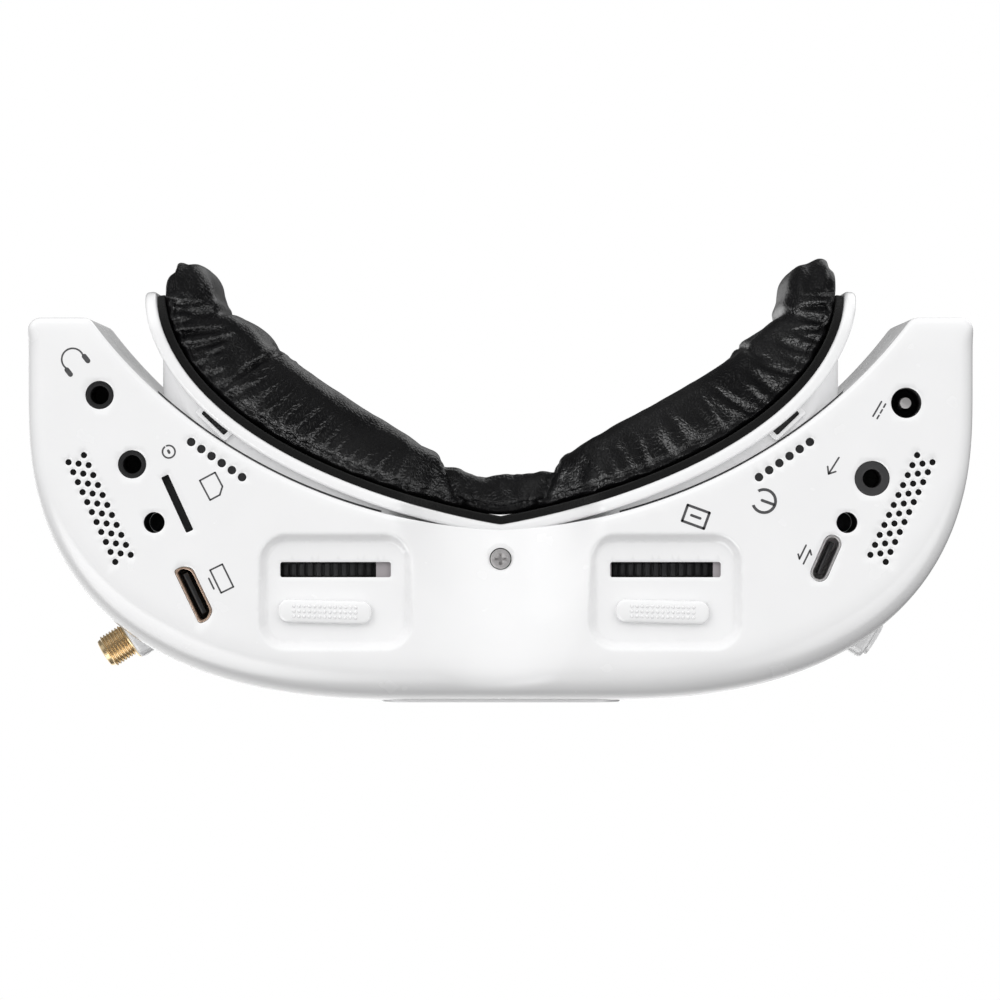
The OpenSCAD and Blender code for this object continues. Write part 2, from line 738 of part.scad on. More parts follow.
// The small fan that keeps the lenses clear of mist.
fan_at = [0, -9.5, 37];
fan_w = 20;
fan_t = 4.5;
module fan_frame() {
    color("#2a2a2a") translate(fan_at) rotate([90, 0, 0]) difference() {
        translate([-fan_w / 2, -fan_w / 2, 0]) cube([fan_w, fan_w, fan_t]);
        translate([0, 0, 1]) cylinder(h = fan_t, r = 9);
        translate([0, 0, -1]) difference() {
            cylinder(h = 4, r = 9);
            cylinder(h = 4, r = 4);
            for (a = [0:120:240]) rotate(a) translate([0, -0.7, 0]) cube([10, 1.4, 4]);
        }
        translate([0, 0, -1]) cylinder(h = fan_t + 2, r = 0.8);
    }
}
module fan_rotor() {
    color("#111111") translate(fan_at) rotate([90, 0, 0]) union() {
        translate([0, 0, 1.3]) cylinder(h = 3, r = 3.8);
        translate([0, 0, 0.1]) cylinder(h = 2, r = 0.75);
        for (a = [0:60:300]) rotate(a) translate([3, -0.3, 1.6]) rotate([35, 0, 0]) cube([5.4, 0.6, 2.4]);
    }
}

module side_wheel() {
    translate(side_wheel_at) difference() {
        union() {
            translate([0, 0, -side_wheel_t / 2]) cylinder(h = side_wheel_t, r = side_wheel_r - 0.25);
            for (a = [0:15:345]) rotate(a) translate([side_wheel_r - 0.7, -0.35, -side_wheel_t / 2 + 0.4])
                cube([0.7, 0.7, side_wheel_t - 0.8]);
        }
        translate([0, 0, -5]) cylinder(h = 10, r = 1.05);
    }
}
module left_side_wheel() { color("silver") side_wheel(); }
module right_side_wheel() { color("silver") mirror([1, 0, 0]) side_wheel(); }
module side_wheel_axles() {
    color("silver") both_sides() translate([side_wheel_at[0], side_wheel_at[1], port_board_z + board_t])
        cylinder(h = side_wheel_at[2] + side_wheel_t / 2 - port_board_z, r = 1);
}

module roof_button(at, r) {
    translate([at[0], at[1], casing_h - wall - 0.9]) union() {
        cylinder(h = wall + 1.7, r = r);
        cylinder(h = 0.8, r = r + 0.8);
    }
}
module power_button() { color("#333333") roof_button(power_button_at, large_button_r); }
module record_button() { color("#333333") roof_button(record_button_at, large_button_r); }
module mode_button() { color("#333333") roof_button(mode_button_at, small_button_r); }
module menu_button() { color("#333333") roof_button(menu_button_at, small_button_r); }

lower_shell();
upper_shell();
front_cover();
camera_window();
status_light();
faceplate();
pad_backing();
face_pad();
nose_screw();
case_screws();
left_barrel();
right_barrel();
left_lens_cell();
right_lens_cell();
left_eyepiece_lens();
right_eyepiece_lens();
left_lens_retainer();
right_lens_retainer();
left_display();
right_display();
left_focus_wheel();
right_focus_wheel();
left_eye_slider();
right_eye_slider();
eye_rails();
main_board();
left_port_board();
right_port_board();
receiver_module();
button_switches();
antenna_connector();
antenna_insulator();
antenna_contact();
antenna_blank();
headphone_jack();
av_jack();
tracker_jack();
power_jack();
power_jack_pin();
video_port();
video_port_tongue();
usb_port();
usb_port_tongue();
card_socket();
left_speaker();
right_speaker();
fan_frame();
fan_rotor();
left_side_wheel();
right_side_wheel();
side_wheel_axles();
power_button();
record_button();
mode_button();
menu_button();
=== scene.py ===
"""Looks of the video goggles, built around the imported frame. Lengths inside the functions are millimetres."""
import json
import math
import random

import bmesh
import bpy
import numpy as np
from mathutils import Matrix, Vector
from mathutils.geometry import delaunay_2d_cdt

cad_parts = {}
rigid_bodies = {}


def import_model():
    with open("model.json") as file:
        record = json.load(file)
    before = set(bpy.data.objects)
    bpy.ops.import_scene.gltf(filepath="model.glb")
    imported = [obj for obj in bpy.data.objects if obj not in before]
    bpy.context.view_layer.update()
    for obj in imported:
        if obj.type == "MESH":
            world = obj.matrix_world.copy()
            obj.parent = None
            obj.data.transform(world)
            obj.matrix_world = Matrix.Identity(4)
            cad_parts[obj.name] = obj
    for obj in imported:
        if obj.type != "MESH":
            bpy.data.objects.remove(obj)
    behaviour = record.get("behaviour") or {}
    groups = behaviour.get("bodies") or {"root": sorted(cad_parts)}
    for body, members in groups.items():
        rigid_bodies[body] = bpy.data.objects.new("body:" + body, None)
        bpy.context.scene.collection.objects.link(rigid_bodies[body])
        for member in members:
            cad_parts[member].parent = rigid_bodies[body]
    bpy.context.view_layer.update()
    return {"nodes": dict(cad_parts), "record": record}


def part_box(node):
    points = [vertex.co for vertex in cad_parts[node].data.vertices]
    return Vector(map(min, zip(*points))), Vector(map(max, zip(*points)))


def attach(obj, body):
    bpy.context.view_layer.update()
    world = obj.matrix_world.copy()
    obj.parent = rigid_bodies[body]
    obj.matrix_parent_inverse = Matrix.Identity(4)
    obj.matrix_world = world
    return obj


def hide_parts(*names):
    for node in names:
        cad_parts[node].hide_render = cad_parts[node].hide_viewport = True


for left_over in list(bpy.data.objects):
    bpy.data.objects.remove(left_over)
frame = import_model()

MM = 0.001
CASING = "casing"
MOUNTS = {m["name"]: m for m in frame["record"]["mounts"]}


def box_mm(node):
    """The lowest and highest corner of a CAD node, in millimetres."""
    low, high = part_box(node)
    return np.array(low) / MM, np.array(high) / MM


def centre_mm(node):
    low, high = box_mm(node)
    return (low + high) / 2


FRONT_Y = box_mm("lower_shell")[0][1]
HALF_W, TIP_Y, SPLIT_Z = box_mm("lower_shell")[1]
ROOF_Z = box_mm("upper_shell")[1][2]
WALL = 2.0
SKIN = 1.2      # the casing's thickness at its holes, thin enough for the wheels to pass


# ---------------------------------------------------------------- small maths

def smooth(x):
    x = np.clip(x, 0, 1)
    return x * x * (3 - 2 * x)


def bezier(a, b, c, d, t):
    t = np.asarray(t, float)[..., None]
    a, b, c, d = (np.array(p, float) for p in (a, b, c, d))
    return (1 - t) ** 3 * a + 3 * (1 - t) ** 2 * t * b + 3 * (1 - t) * t * t * c + t ** 3 * d


def rounded_rect(w, h, r, steps=5):
    """Points of a rounded rectangle about the origin, anticlockwise."""
    r = min(r, w / 2 - 1e-4, h / 2 - 1e-4)
    points = []
    for quarter, (sx, sy) in enumerate(((1, 1), (-1, 1), (-1, -1), (1, -1))):
        for i in range(steps + 1):
            a = math.pi / 2 * (quarter + i / steps)
            points.append((sx * (w / 2 - r) + r * math.cos(a), sy * (h / 2 - r) + r * math.sin(a)))
    return np.array(points)


def circle(r, n=32):
    a = np.arange(n) * 2 * math.pi / n
    return np.stack([r * np.cos(a), r * np.sin(a)], 1)


def densify(points, step):
    """The closed polygon with no side longer than step."""
    out = []
    for i in range(len(points)):
        a, b = points[i], points[(i + 1) % len(points)]
        n = max(1, int(math.ceil(np.linalg.norm(b - a) / step)))
        out += [a + (b - a) * k / n for k in range(n)]
    return np.array(out)


def place(points, at, turn=0.0):
    c, s = math.cos(math.radians(turn)), math.sin(math.radians(turn))
    return points @ np.array([[c, s], [-s, c]]) + np.array(at[:2])


def offset_loop(points, d):
    """The closed loop moved outwards by d (anticlockwise loops grow)."""
    before, after = np.roll(points, 1, 0), np.roll(points, -1, 0)
    along = after - before
    along /= np.maximum(np.linalg.norm(along, axis=1, keepdims=True), 1e-9)
    return points + np.stack([along[:, 1], -along[:, 0]], 1) * d


def inside(points, polygon):
    """Which points lie inside the polygon."""
    x, y = points[:, 0], points[:, 1]
    result = np.zeros(len(points), bool)
    a, b = polygon, np.roll(polygon, -1, 0)
    for (x0, y0), (x1, y1) in zip(a, b):
        if y0 == y1:
            continue
        crosses = (y0 > y) != (y1 > y)
        result ^= crosses & (x < (x1 - x0) * (y - y0) / (y1 - y0) + x0)
    return result


def distance_to_loop(points, polygon):
    """The distance from each point to the closed polygon's sides."""
    best = np.full(len(points), 1e9)
    for a, b in zip(polygon, np.roll(polygon, -1, 0)):
        d = b - a
        t = np.clip(((points - a) @ d) / max(d @ d, 1e-12), 0, 1)
        best = np.minimum(best, np.linalg.norm(points - (a + t[:, None] * d), axis=1))
    return best


def within(points, border, holes):
    """Which points lie inside a border and outside every hole."""
    wanted = inside(points, border)
    for hole in holes:
        near = np.where(((points > hole.min(0)) & (points < hole.max(0))).all(1))[0]
        wanted[near] &= ~inside(points[near], hole)
    return wanted


def clear_of(points, rim, gap):
    """The points that are neither inside a rim nor nearer to it than a gap."""
    near = np.where(((points > rim.min(0) - gap) & (points < rim.max(0) + gap)).all(1))[0]
    close = inside(points[near], rim) | (distance_to_loop(points[near], rim) < gap)
    return np.delete(points, near[close], 0)


def rounded_rect_distance(x, y, w, h, r):
    """The signed distance to a rounded rectangle about the origin, negative inside."""
    qx, qy = np.abs(x) - (w / 2 - r), np.abs(y) - (h / 2 - r)
    outside = np.hypot(np.maximum(qx, 0), np.maximum(qy, 0))
    return outside + np.minimum(np.maximum(qx, qy), 0) - r


# ---------------------------------------------------------------- meshes


def make_object(name, vertices, faces, material, body=CASING, smooth_shade=True):
    """A mesh object from points in millimetres, with its material's slot, riding on a body."""
    mesh = bpy.data.meshes.new(name)
    mesh.from_pydata([tuple(v) for v in np.asarray(vertices, float) * MM], [], faces)
    mesh.validate()
    bm = bmesh.new()
    bm.from_mesh(mesh)
    bmesh.ops.remove_doubles(bm, verts=bm.verts, dist=1e-6)
    bmesh.ops.recalc_face_normals(bm, faces=bm.faces)
    bm.to_mesh(mesh)
    bm.free()
    obj = bpy.data.objects.new(name, mesh)
    bpy.context.scene.collection.objects.link(obj)
    mesh.materials.append(material)
    if smooth_shade:
        mesh.polygons.foreach_set("use_smooth", [True] * len(mesh.polygons))
    if body:
        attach(obj, body)
    return obj


def sharpen(obj, degrees=35):
    """Marks the edges that are sharper than an angle, so that smooth shading stops there."""
    bm = bmesh.new()
    bm.from_mesh(obj.data)
    limit = math.radians(degrees)
    for e in bm.edges:
        e.smooth = len(e.link_faces) == 2 and e.calc_face_angle(0) < limit
    bm.to_mesh(obj.data)
    bm.free()
    return obj


def band(a, b, n):
    """The faces between two closed rings of n points that start at a and at b."""
    return [(a + i, a + (i + 1) % n, b + (i + 1) % n, b + i) for i in range(n)]


def lathe(name, profile, material, at=(0, 0, 0), axis=(0, 0, 1), segments=64, body=CASING, sharp=35):
    """A closed profile of (radius, height) pairs turned about an axis."""
    n = len(profile)
    vertices = [(r * c, r * s, h) for c, s in circle(1, segments) for r, h in profile]
    faces = []
    for i in range(segments):
        faces += band((i + 1) % segments * n, i * n, n)
    turn = Vector((0, 0, 1)).rotation_difference(Vector(axis)).to_matrix()
    vertices = np.array(vertices) @ np.array(turn).T + np.array(at, float)
    return sharpen(make_object(name, vertices, faces, material, body), sharp)


BEVEL_STEPS = 3


def prism(name, loop, z0, z1, material, bevel=0.2, at=(0, 0), turn=0.0, body=CASING, hole=None):
    """A plate with the plan of a loop and rounded edges; its hole, if any, has as many points as the loop."""
    levels = [(z0 + bevel * (1 - math.cos(a)), -bevel * (1 - math.sin(a)))
              for a in np.linspace(0, math.pi / 2, BEVEL_STEPS + 1)]
    levels += [(z0 + z1 - z, d) for z, d in reversed(levels)]
    vertices, faces = [], []
    n, last = len(loop), len(levels) - 1
    for points, sign in ((loop, 1),) if hole is None else ((loop, 1), (hole, -1)):
        base = len(vertices)
        for z, d in levels:
            vertices += [(x, y, z) for x, y in place(offset_loop(points, sign * d), at, turn)]
        for j in range(base, base + last * n, n):
            faces += [face[::sign] for face in band(j, j + n, n)]
    if hole is None:
        faces += [tuple(reversed(range(n))), tuple(range(last * n, last * n + n))]
    else:
        faces += band(base, 0, n) + band(last * n, base + last * n, n)
    return sharpen(make_object(name, vertices, faces, material, body), 40)


def panel(points, loops, keep):
    """Triangles over scattered points, with the sides of the closed loops kept as edges."""
    coords, edges = [tuple(p) for p in points], []
    for loop in loops:
        first = len(coords)
        coords += [tuple(p) for p in loop]
        n = len(loop)
        edges += [(first + i, first + (i + 1) % n) for i in range(n)]
    out = delaunay_2d_cdt([Vector(c) for c in coords], edges, [], 0, 1e-5)
    flat = np.array([tuple(v) for v in out[0]])
    triangles = np.array([f for f in out[2] if len(f) == 3])
    middle = flat[triangles].mean(1)
    return flat, triangles[keep(middle)]


def ring_pattern(outer, inner, step, clear):
    """A flat pattern between two loops, as points on an even grid and triangles."""
    low, high = outer.min(0), outer.max(0)
    gs, gz = np.meshgrid(np.arange(low[0], high[0], step), np.arange(low[1], high[1], step))
    grid = np.stack([gs.ravel(), gz.ravel()], 1)
    grid = grid[within(grid, outer, [inner])]
    grid = grid[(distance_to_loop(grid, outer) > clear) & (distance_to_loop(grid, inner) > clear)]
    return panel(grid, [outer, inner], lambda middle: within(middle, outer, [inner]))


def bake(obj):
    """The object with its modifiers applied."""
    depsgraph = bpy.context.evaluated_depsgraph_get()
    mesh = bpy.data.meshes.new_from_object(obj.evaluated_get(depsgraph))
    obj.modifiers.clear()
    obj.data = mesh
    return obj


def read(items, key, width=3):
    """One property of all the vertices or faces, as an array."""
    values = np.zeros(len(items) * width)
    items.foreach_get(key, values)
    return values.reshape(-1, width)


def face_outwards(obj, centre):
    """Turns an open surface's faces so that they look away from a point."""
    faces = obj.data.polygons
    away = read(faces, "center") - np.array(centre) * MM
    if (read(faces, "area", 1)[:, 0] * (read(faces, "normal") * away).sum(1)).sum() < 0:
        obj.data.flip_normals()


# ---------------------------------------------------------------- materials

class Nodes:
    """A small helper that adds shader nodes and links them."""

    def __init__(self, name):
        self.material = bpy.data.materials.new(name)
        self.material.use_nodes = True
        self.tree = self.material.node_tree
        self.shader = next(n for n in self.tree.nodes if n.type == "BSDF_PRINCIPLED")
        self.place = self.tree.nodes.new("ShaderNodeTexCoord").outputs["Object"]

    def add(self, kind, inputs=None, **settings):
        node = self.tree.nodes.new("ShaderNode" + kind)
        for key, value in settings.items():
            setattr(node, key, value)
        for key, value in (inputs or {}).items():
            if isinstance(value, bpy.types.NodeSocket):
                self.tree.links.new(value, node.inputs[key])
            else:
                node.inputs[key].default_value = value
        return node

    def set(self, **values):
        for key, value in values.items():
            socket = self.shader.inputs[key.replace("_", " ")]
            if isinstance(value, bpy.types.NodeSocket):
                self.tree.links.new(value, socket)
            else:
                socket.default_value = value

    def noise(self, scale, detail=3.0, roughness=0.5, place=None):
        return self.add("TexNoise", {"Vector": place or self.place, "Scale": scale, "Detail": detail,
                                     "Roughness": roughness}).outputs["Fac"]

    def cells(self, scale, feature="F1", place=None):
        return self.add("TexVoronoi", {"Vector": place or self.place, "Scale": scale},
                        feature=feature).outputs["Distance"]

    def stretch(self, factor):
        return self.add("Mapping", {"Vector": self.place, "Scale": factor}).outputs["Vector"]

    def remap(self, value, low, high, from_low=0.0, from_high=1.0):
        return self.add("MapRange", {"Value": value, "From Min": from_low, "From Max": from_high,
                                     "To Min": low, "To Max": high}).outputs["Result"]

    def blend(self, fac, a, b):
        node = self.add("Mix", data_type="RGBA")
        node.inputs[6].default_value = (*a, 1)
        node.inputs[7].default_value = (*b, 1)
        self.tree.links.new(fac, node.inputs[0])
        return node.outputs[2]

    def bump(self, height, strength, distance, under=None):
        inputs = {"Height": height, "Strength": strength, "Distance": distance * MM}
        if under is not None:
            inputs["Normal"] = under
        return self.add("Bump", inputs).outputs["Normal"]


def plastic(name, colour, roughness, grain, coat=0.0, grain_depth=0.02, variation=0.03):
    """A moulded plastic: a fine moulding grain, slight waviness, and roughness that varies a little."""
    n = Nodes(name)
    tone = n.noise(90, 4)
    darker = tuple(c * (1 - variation * 2) for c in colour)
    n.set(Base_Color=n.blend(n.remap(tone, 0, 1, 0.3, 0.7), darker, colour),
          Roughness=n.remap(n.noise(160, 3), roughness * 0.85, roughness * 1.15, 0.3, 0.7),
          Coat_Weight=coat, Coat_Roughness=0.06)
    n.set(Normal=n.bump(n.noise(grain, 2), 0.25, grain_depth))
    return n.material


def metal(name, colour, roughness, brushed=(1, 1, 30)):
    """A metal with fine brushing lines and small duller patches."""
    n = Nodes(name)
    lines = n.noise(900, 2, place=n.stretch(brushed))
    dull = n.noise(260, 5, 0.6)
    darker = tuple(c * 0.8 for c in colour)
    n.set(Base_Color=n.blend(n.remap(dull, 0, 1, 0.35, 0.7), colour, darker), Metallic=0.75,
          Roughness=n.remap(dull, roughness * 0.75, roughness * 1.35, 0.3, 0.7))
    n.set(Normal=n.bump(lines, 0.3, 0.02))
    return n.material


def leather(name="leather"):
    """Black leather: a pebbled grain between fine folds, duller in the folds."""
    n = Nodes(name)
    warp = n.noise(300, 2)
    shift = n.add("CombineXYZ", {"X": n.remap(warp, -0.0006, 0.0006), "Y": n.remap(warp, 0.0005, -0.0005),
                                 "Z": n.remap(warp, -0.0004, 0.0004)}).outputs[0]
    bent = n.add("VectorMath", {0: n.place, 1: shift}, operation="ADD").outputs[0]
    pebbles = n.cells(1350, "DISTANCE_TO_EDGE", bent)
    fine = n.cells(2900, "F1", bent)
    folds = n.noise(120, 6, 0.62)
    creases = n.remap(n.noise(230, 3, 0.5), 0, 1, 0.42, 0.58)
    worn = n.noise(55, 5, 0.6)
    n.set(Base_Color=n.blend(n.remap(worn, 0, 1, 0.4, 0.65), (0.003, 0.003, 0.0035), (0.009, 0.009, 0.0095)),
          Roughness=n.remap(folds, 0.24, 0.38, 0.3, 0.7), Specular_IOR_Level=0.6)
    normal = n.bump(folds, 0.14, 0.3)
    normal = n.bump(creases, 0.12, 0.2, normal)
    normal = n.bump(n.remap(pebbles, 0, 1, 0, 0.25), 0.55, 0.11, normal)
    normal = n.bump(fine, 0.18, 0.05, normal)
    n.set(Normal=normal)
    return n.material


def felt(name="felt"):
    """The black looped strip behind the pad: matt fibres with a soft sheen."""
    n = Nodes(name)
    fibres = n.noise(2600, 6, 0.75)
    n.set(Base_Color=n.blend(fibres, (0.002, 0.002, 0.002), (0.012, 0.012, 0.012)), Roughness=0.95,
          Sheen_Weight=0.08, Sheen_Roughness=0.6, Specular_IOR_Level=0.1)
    n.set(Normal=n.bump(n.noise(1700, 5, 0.7), 0.9, 0.35))
    return n.material


def ink(name="ink"):
    """Printed dark ink, slightly uneven."""
    n = Nodes(name)
    n.set(Base_Color=n.blend(n.noise(1500, 4), (0.05, 0.05, 0.052), (0.1, 0.1, 0.105)), Roughness=0.5)
    n.set(Normal=n.bump(n.noise(3000, 2), 0.1, 0.01))
    return n.material


def circuit_board(name="circuit_board"):
    """A green board with faint copper tracks under the lacquer."""
    n = Nodes(name)
    tracks = n.cells(420, "F1", n.stretch((1, 1, 0.01)))
    n.set(Base_Color=n.blend(n.remap(tracks, 0, 1, 0.35, 0.6), (0.012, 0.1, 0.045), (0.03, 0.2, 0.09)),
          Roughness=0.4, Coat_Weight=0.3)
    n.set(Normal=n.bump(tracks, 0.3, 0.05))
    return n.material


def lens_glass(name="lens_glass"):
    """Coated glass with faint smears."""
    n = Nodes(name)
    n.set(Base_Color=(0.93, 0.96, 0.98, 1), Roughness=n.remap(n.noise(140, 4), 0.0, 0.05),
          Transmission_Weight=1.0, IOR=1.5, Coat_Weight=0.6, Coat_Tint=(0.5, 0.75, 1.0, 1))
    n.set(Normal=n.bump(n.noise(200, 2), 0.05, 0.02))
    return n.material


def smoked_glass(name="camera_glass"):
    """A dark window with a faint deep tint."""
    n = Nodes(name)
    n.set(Base_Color=n.blend(n.noise(60, 2), (0.006, 0.006, 0.009), (0.02, 0.02, 0.028)),
          Roughness=n.remap(n.noise(220, 4), 0.03, 0.1), Coat_Weight=1.0, Coat_Roughness=0.02)
    n.set(Normal=n.bump(n.noise(60, 2), 0.05, 0.02))
    return n.material


def pale_floor(name="floor"):
    """A plain pale floor that can only be seen from above."""
    n = Nodes(name)
    n.set(Base_Color=n.blend(n.noise(4, 2), (0.82, 0.82, 0.82), (0.84, 0.84, 0.84)), Roughness=0.6)
    back = n.add("NewGeometry").outputs["Backfacing"]
    mix = n.add("MixShader", {0: back, 1: n.shader.outputs[0],
                              2: n.add("BsdfTransparent").outputs[0]})
    output = next(x for x in n.tree.nodes if x.type == "OUTPUT_MATERIAL")
    n.tree.links.new(mix.outputs[0], output.inputs["Surface"])
    return n.material


MATERIALS = {
    "casing_white": plastic("casing_white", (0.9, 0.9, 0.905), 0.24, 1400, coat=0.45, grain_depth=0.012,
                            variation=0.01),
    "camera_glass": smoked_glass(),
    "light_lens": plastic("light_lens", (0.72, 0.73, 0.75), 0.2, 900, coat=0.6),
    "hook_strip": felt(),
    "leather": leather(),
    "bright_steel": metal("bright_steel", (0.82, 0.8, 0.8), 0.42),
    "black_steel": metal("black_steel", (0.12, 0.12, 0.13), 0.35),
    "black_plastic": plastic("black_plastic", (0.022, 0.022, 0.023), 0.42, 2200, 0.0, 0.04, 0.15),
    "ribbed_black": plastic("ribbed_black", (0.018, 0.018, 0.019), 0.48, 2600, 0.0, 0.04, 0.15),
    "grey_plastic": plastic("grey_plastic", (0.05, 0.05, 0.052), 0.4, 2200, 0.0, 0.03, 0.12),
    "display_black": plastic("display_black", (0.03, 0.034, 0.04), 0.18, 800, coat=0.5, variation=0.1),
    "circuit_board": circuit_board(),
    "gold_plate": metal("gold_plate", (0.9, 0.7, 0.42), 0.2, (30, 1, 1)),
    "insulator": plastic("insulator", (0.86, 0.84, 0.76), 0.45, 1800),
    "satin_metal": metal("satin_metal", (0.66, 0.66, 0.68), 0.3),
    "rose_gold": metal("rose_gold", (0.85, 0.62, 0.48), 0.3, (1, 1, 20)),
    "shutter_grey": plastic("shutter_grey", (0.4, 0.37, 0.385), 0.45, 1800, variation=0.05),
    "lens_glass": lens_glass(),
}
INK = ink()
# Painted shade: a near-black plastic for the plates and tubes that darken holes, slots and sockets where there
# is only shade
PAINTED_SHADE = plastic("painted_shade", (0.02, 0.02, 0.021), 0.6, 1500, variation=0.1)
WHITE = MATERIALS["casing_white"]


# ---------------------------------------------------------------- the casing

FRONT_FLAT = 16.7       # half the straight stretch of the front
SHOULDER_Y = 17.1       # the shoulders are quarters of a squarish ellipse that ends here
SHOULDER_POWER = 2.56
TIP_R = 2.5
TIP_INNER = np.array((77.4, 30.2))      # the inner corner of a wing's tip
BACK = ((0, -9), (33, -7.6), (61, 8.5), tuple(TIP_INNER))       # the back's curve, a bezier
FRONT_EDGE_R, SIDE_EDGE_R, TIP_EDGE_R, BACK_EDGE_R = 8.0, 3.4, 1.6, 1.2
ROOF_DROP, ROOF_FLAT = 9.0, 40.0        # the roof falls towards the sides, from this far out
OUTLINE_STEP = 0.7


def casing_outline():
    """The casing's plan, anticlockwise from the middle of its back, as points an even step apart."""
    a = np.radians(np.linspace(0, 90, 160))
    shoulder = np.stack([FRONT_FLAT + (HALF_W - FRONT_FLAT) * np.sin(a) ** (2 / SHOULDER_POWER),
                         SHOULDER_Y - (SHOULDER_Y - FRONT_Y) * np.cos(a) ** (2 / SHOULDER_POWER)], 1)
    tip = np.radians(np.linspace(0, 90, 12))
    corner = np.stack([HALF_W - TIP_R + TIP_R * np.cos(tip), TIP_Y - TIP_R + TIP_R * np.sin(tip)], 1)
    inner_corner = TIP_INNER + np.array([(2.4, TIP_Y - TIP_INNER[1]), (1.4, 1.3), (0.6, 0.8)])
    back = bezier(*BACK, np.linspace(1, 0, 200))
    half = np.concatenate([[(0, FRONT_Y)], shoulder, corner, inner_corner, back])
    mirror = half[::-1] * (-1, 1)
    whole = np.concatenate([mirror, half[1:]])
    keep = np.concatenate([[True], np.linalg.norm(np.diff(whole, axis=0), axis=1) > 1e-6])
    whole = whole[keep]
    length = np.concatenate([[0], np.cumsum(np.linalg.norm(np.diff(whole, axis=0), axis=1))])
    n = int(round(length[-1] / OUTLINE_STEP / 2)) * 2
    s = np.linspace(0, length[-1], n + 1)
    return np.stack([np.interp(s, length, whole[:, 0]), np.interp(s, length, whole[:, 1])], 1)[:-1], s


OUTLINE, OUTLINE_S = casing_outline()


def spread(values, width):
    """Values around a closed loop, averaged over a window."""
    kernel = np.hanning(width + 2)[1:-1]
    kernel /= kernel.sum()
    padded = np.concatenate([values[-width:], values, values[:width]])
    return np.convolve(padded, kernel, "same")[width:-width]


def outline_normals():
    along = np.roll(OUTLINE, -1, 0) - np.roll(OUTLINE, 1, 0)
    normals = np.stack([along[:, 1], -along[:, 0]], 1)
    return normals / np.linalg.norm(normals, axis=1, keepdims=True)


def outline_edge_radius():
    """The rounding of the casing's lower and upper edge, along the outline."""
    x, y = OUTLINE[:, 0], OUTLINE[:, 1]
    back = bezier(*BACK, np.linspace(0, 1, 100))
    at_back = np.interp(np.abs(x), back[:, 0], back[:, 1])
    is_back = (np.abs(x) < TIP_INNER[0]) & (np.abs(y - at_back) < 0.5)
    front = SIDE_EDGE_R + (FRONT_EDGE_R - SIDE_EDGE_R) * np.clip((2 - y) / 34, 0, 1)
    radius = np.where(is_back, BACK_EDGE_R, np.where(y > TIP_Y - TIP_R - 1, TIP_EDGE_R, front))
    return spread(radius, 9)


NORMALS = outline_normals()
EDGE_R = outline_edge_radius()

POCKET_AT, POCKET_SIZE, POCKET_R = (31.4, -20.7), (28.4, 21.1), 4.8
POCKET_DEPTH, POCKET_SLOPE = 2.0, 1.9
ARCH_R = 23.0       # the nose arch: a round vault that rises backwards
ARCH_BACK = 13.0
ARCH_RUN = (-37.0, 4.0)
ARCH_BLEND = 3.6


def edge_lift(points):
    """How far the rounded edge stands back from the flat bottom or roof, at points of the plan."""
    lift = np.zeros(len(points))
    for first in range(0, len(points), 2000):
        part = points[first:first + 2000]
        apart = np.linalg.norm(part[:, None] - OUTLINE[None], axis=2)
        nearest = apart.argmin(1)
        d, r = apart[np.arange(len(part)), nearest], EDGE_R[nearest]
        u = np.clip(1 - d / r, 0, 1)
        lift[first:first + 2000] = r * (1 - np.sqrt(1 - u * u))
    return lift


def soft_max(a, b, k):
    """The larger of two values, with the corner between them rounded over a width."""
    h = np.maximum(k - np.abs(a - b), 0) / k
    return np.maximum(a, b) + h * h * k / 4


def underside_z(points):
    """The height of the underside: its rounded edge, the thumb pockets and the nose arch."""
    x, y = np.abs(points[:, 0]), points[:, 1]
    d = rounded_rect_distance(x - POCKET_AT[0], y - POCKET_AT[1], *POCKET_SIZE, POCKET_R)
    base = edge_lift(points) + POCKET_DEPTH * smooth((0.7 - d) / POCKET_SLOPE)
    top = ARCH_BACK * (y - ARCH_RUN[0]) / (ARCH_RUN[1] - ARCH_RUN[0])
    vault = top - ARCH_R + np.sqrt(np.maximum(ARCH_R ** 2 - x * x, 0))
    return soft_max(base, vault, ARCH_BLEND)


def roof_z(points):
    x = np.abs(points[:, 0])
    return ROOF_Z - ROOF_DROP * np.clip((x - ROOF_FLAT) / (HALF_W - ROOF_FLAT), 0, 1) ** 2 - edge_lift(points)


LIP = 0.28      # the worn-in rounding of each hole's edge
LIP_DEPTH = 0.8 * LIP
GAP = 0.1
JACKS = {"headphone_jack": 2.6, "av_jack": 2.6, "tracker_jack": 3.25, "power_jack": 2.8}
WELL_AT = (66.0, -7.5)
WELL_R = 2.0
VENT_AT, VENT_STEP, VENT_R = np.array((58.95, 7.85)), np.array((-1.94, -1.34)), 0.82
VENT_COUNT = 6
SOUND_AT, SOUND_R = np.array((83.2, 5.9)), 0.6
SOUND_ROW, SOUND_COLUMN = np.array((-0.89, -1.9)), np.array((-1.91, -0.28))
SOUND_ROWS, SOUND_COLUMNS = 12, 3
SLOT_AT, SLOT_SIZE = (31.5, -16.5), (21.1, 2.9)
KNOB_Y, KNOB_TILT = -24.5, 1.5
KNOB_SLOT, KNOB_SLOT_X = (14.0, 2.8), (33.5, -32.5)
VIDEO_AT, VIDEO_TURN, VIDEO_HALF = (58.3, -21.0), 64.4, (5.6, 1.65)
USB_AT, USB_TURN = (-62.0, -14.3), -66.4
CARD_AT, CARD_TURN = (61.6, -3.9), 65.5
USB_SIZE, CARD_SIZE = (9.4, 3.5), (11.6, 1.5)
NOSE_SCREW_Y, NOSE_SCREW_R = -14.5, 2.1


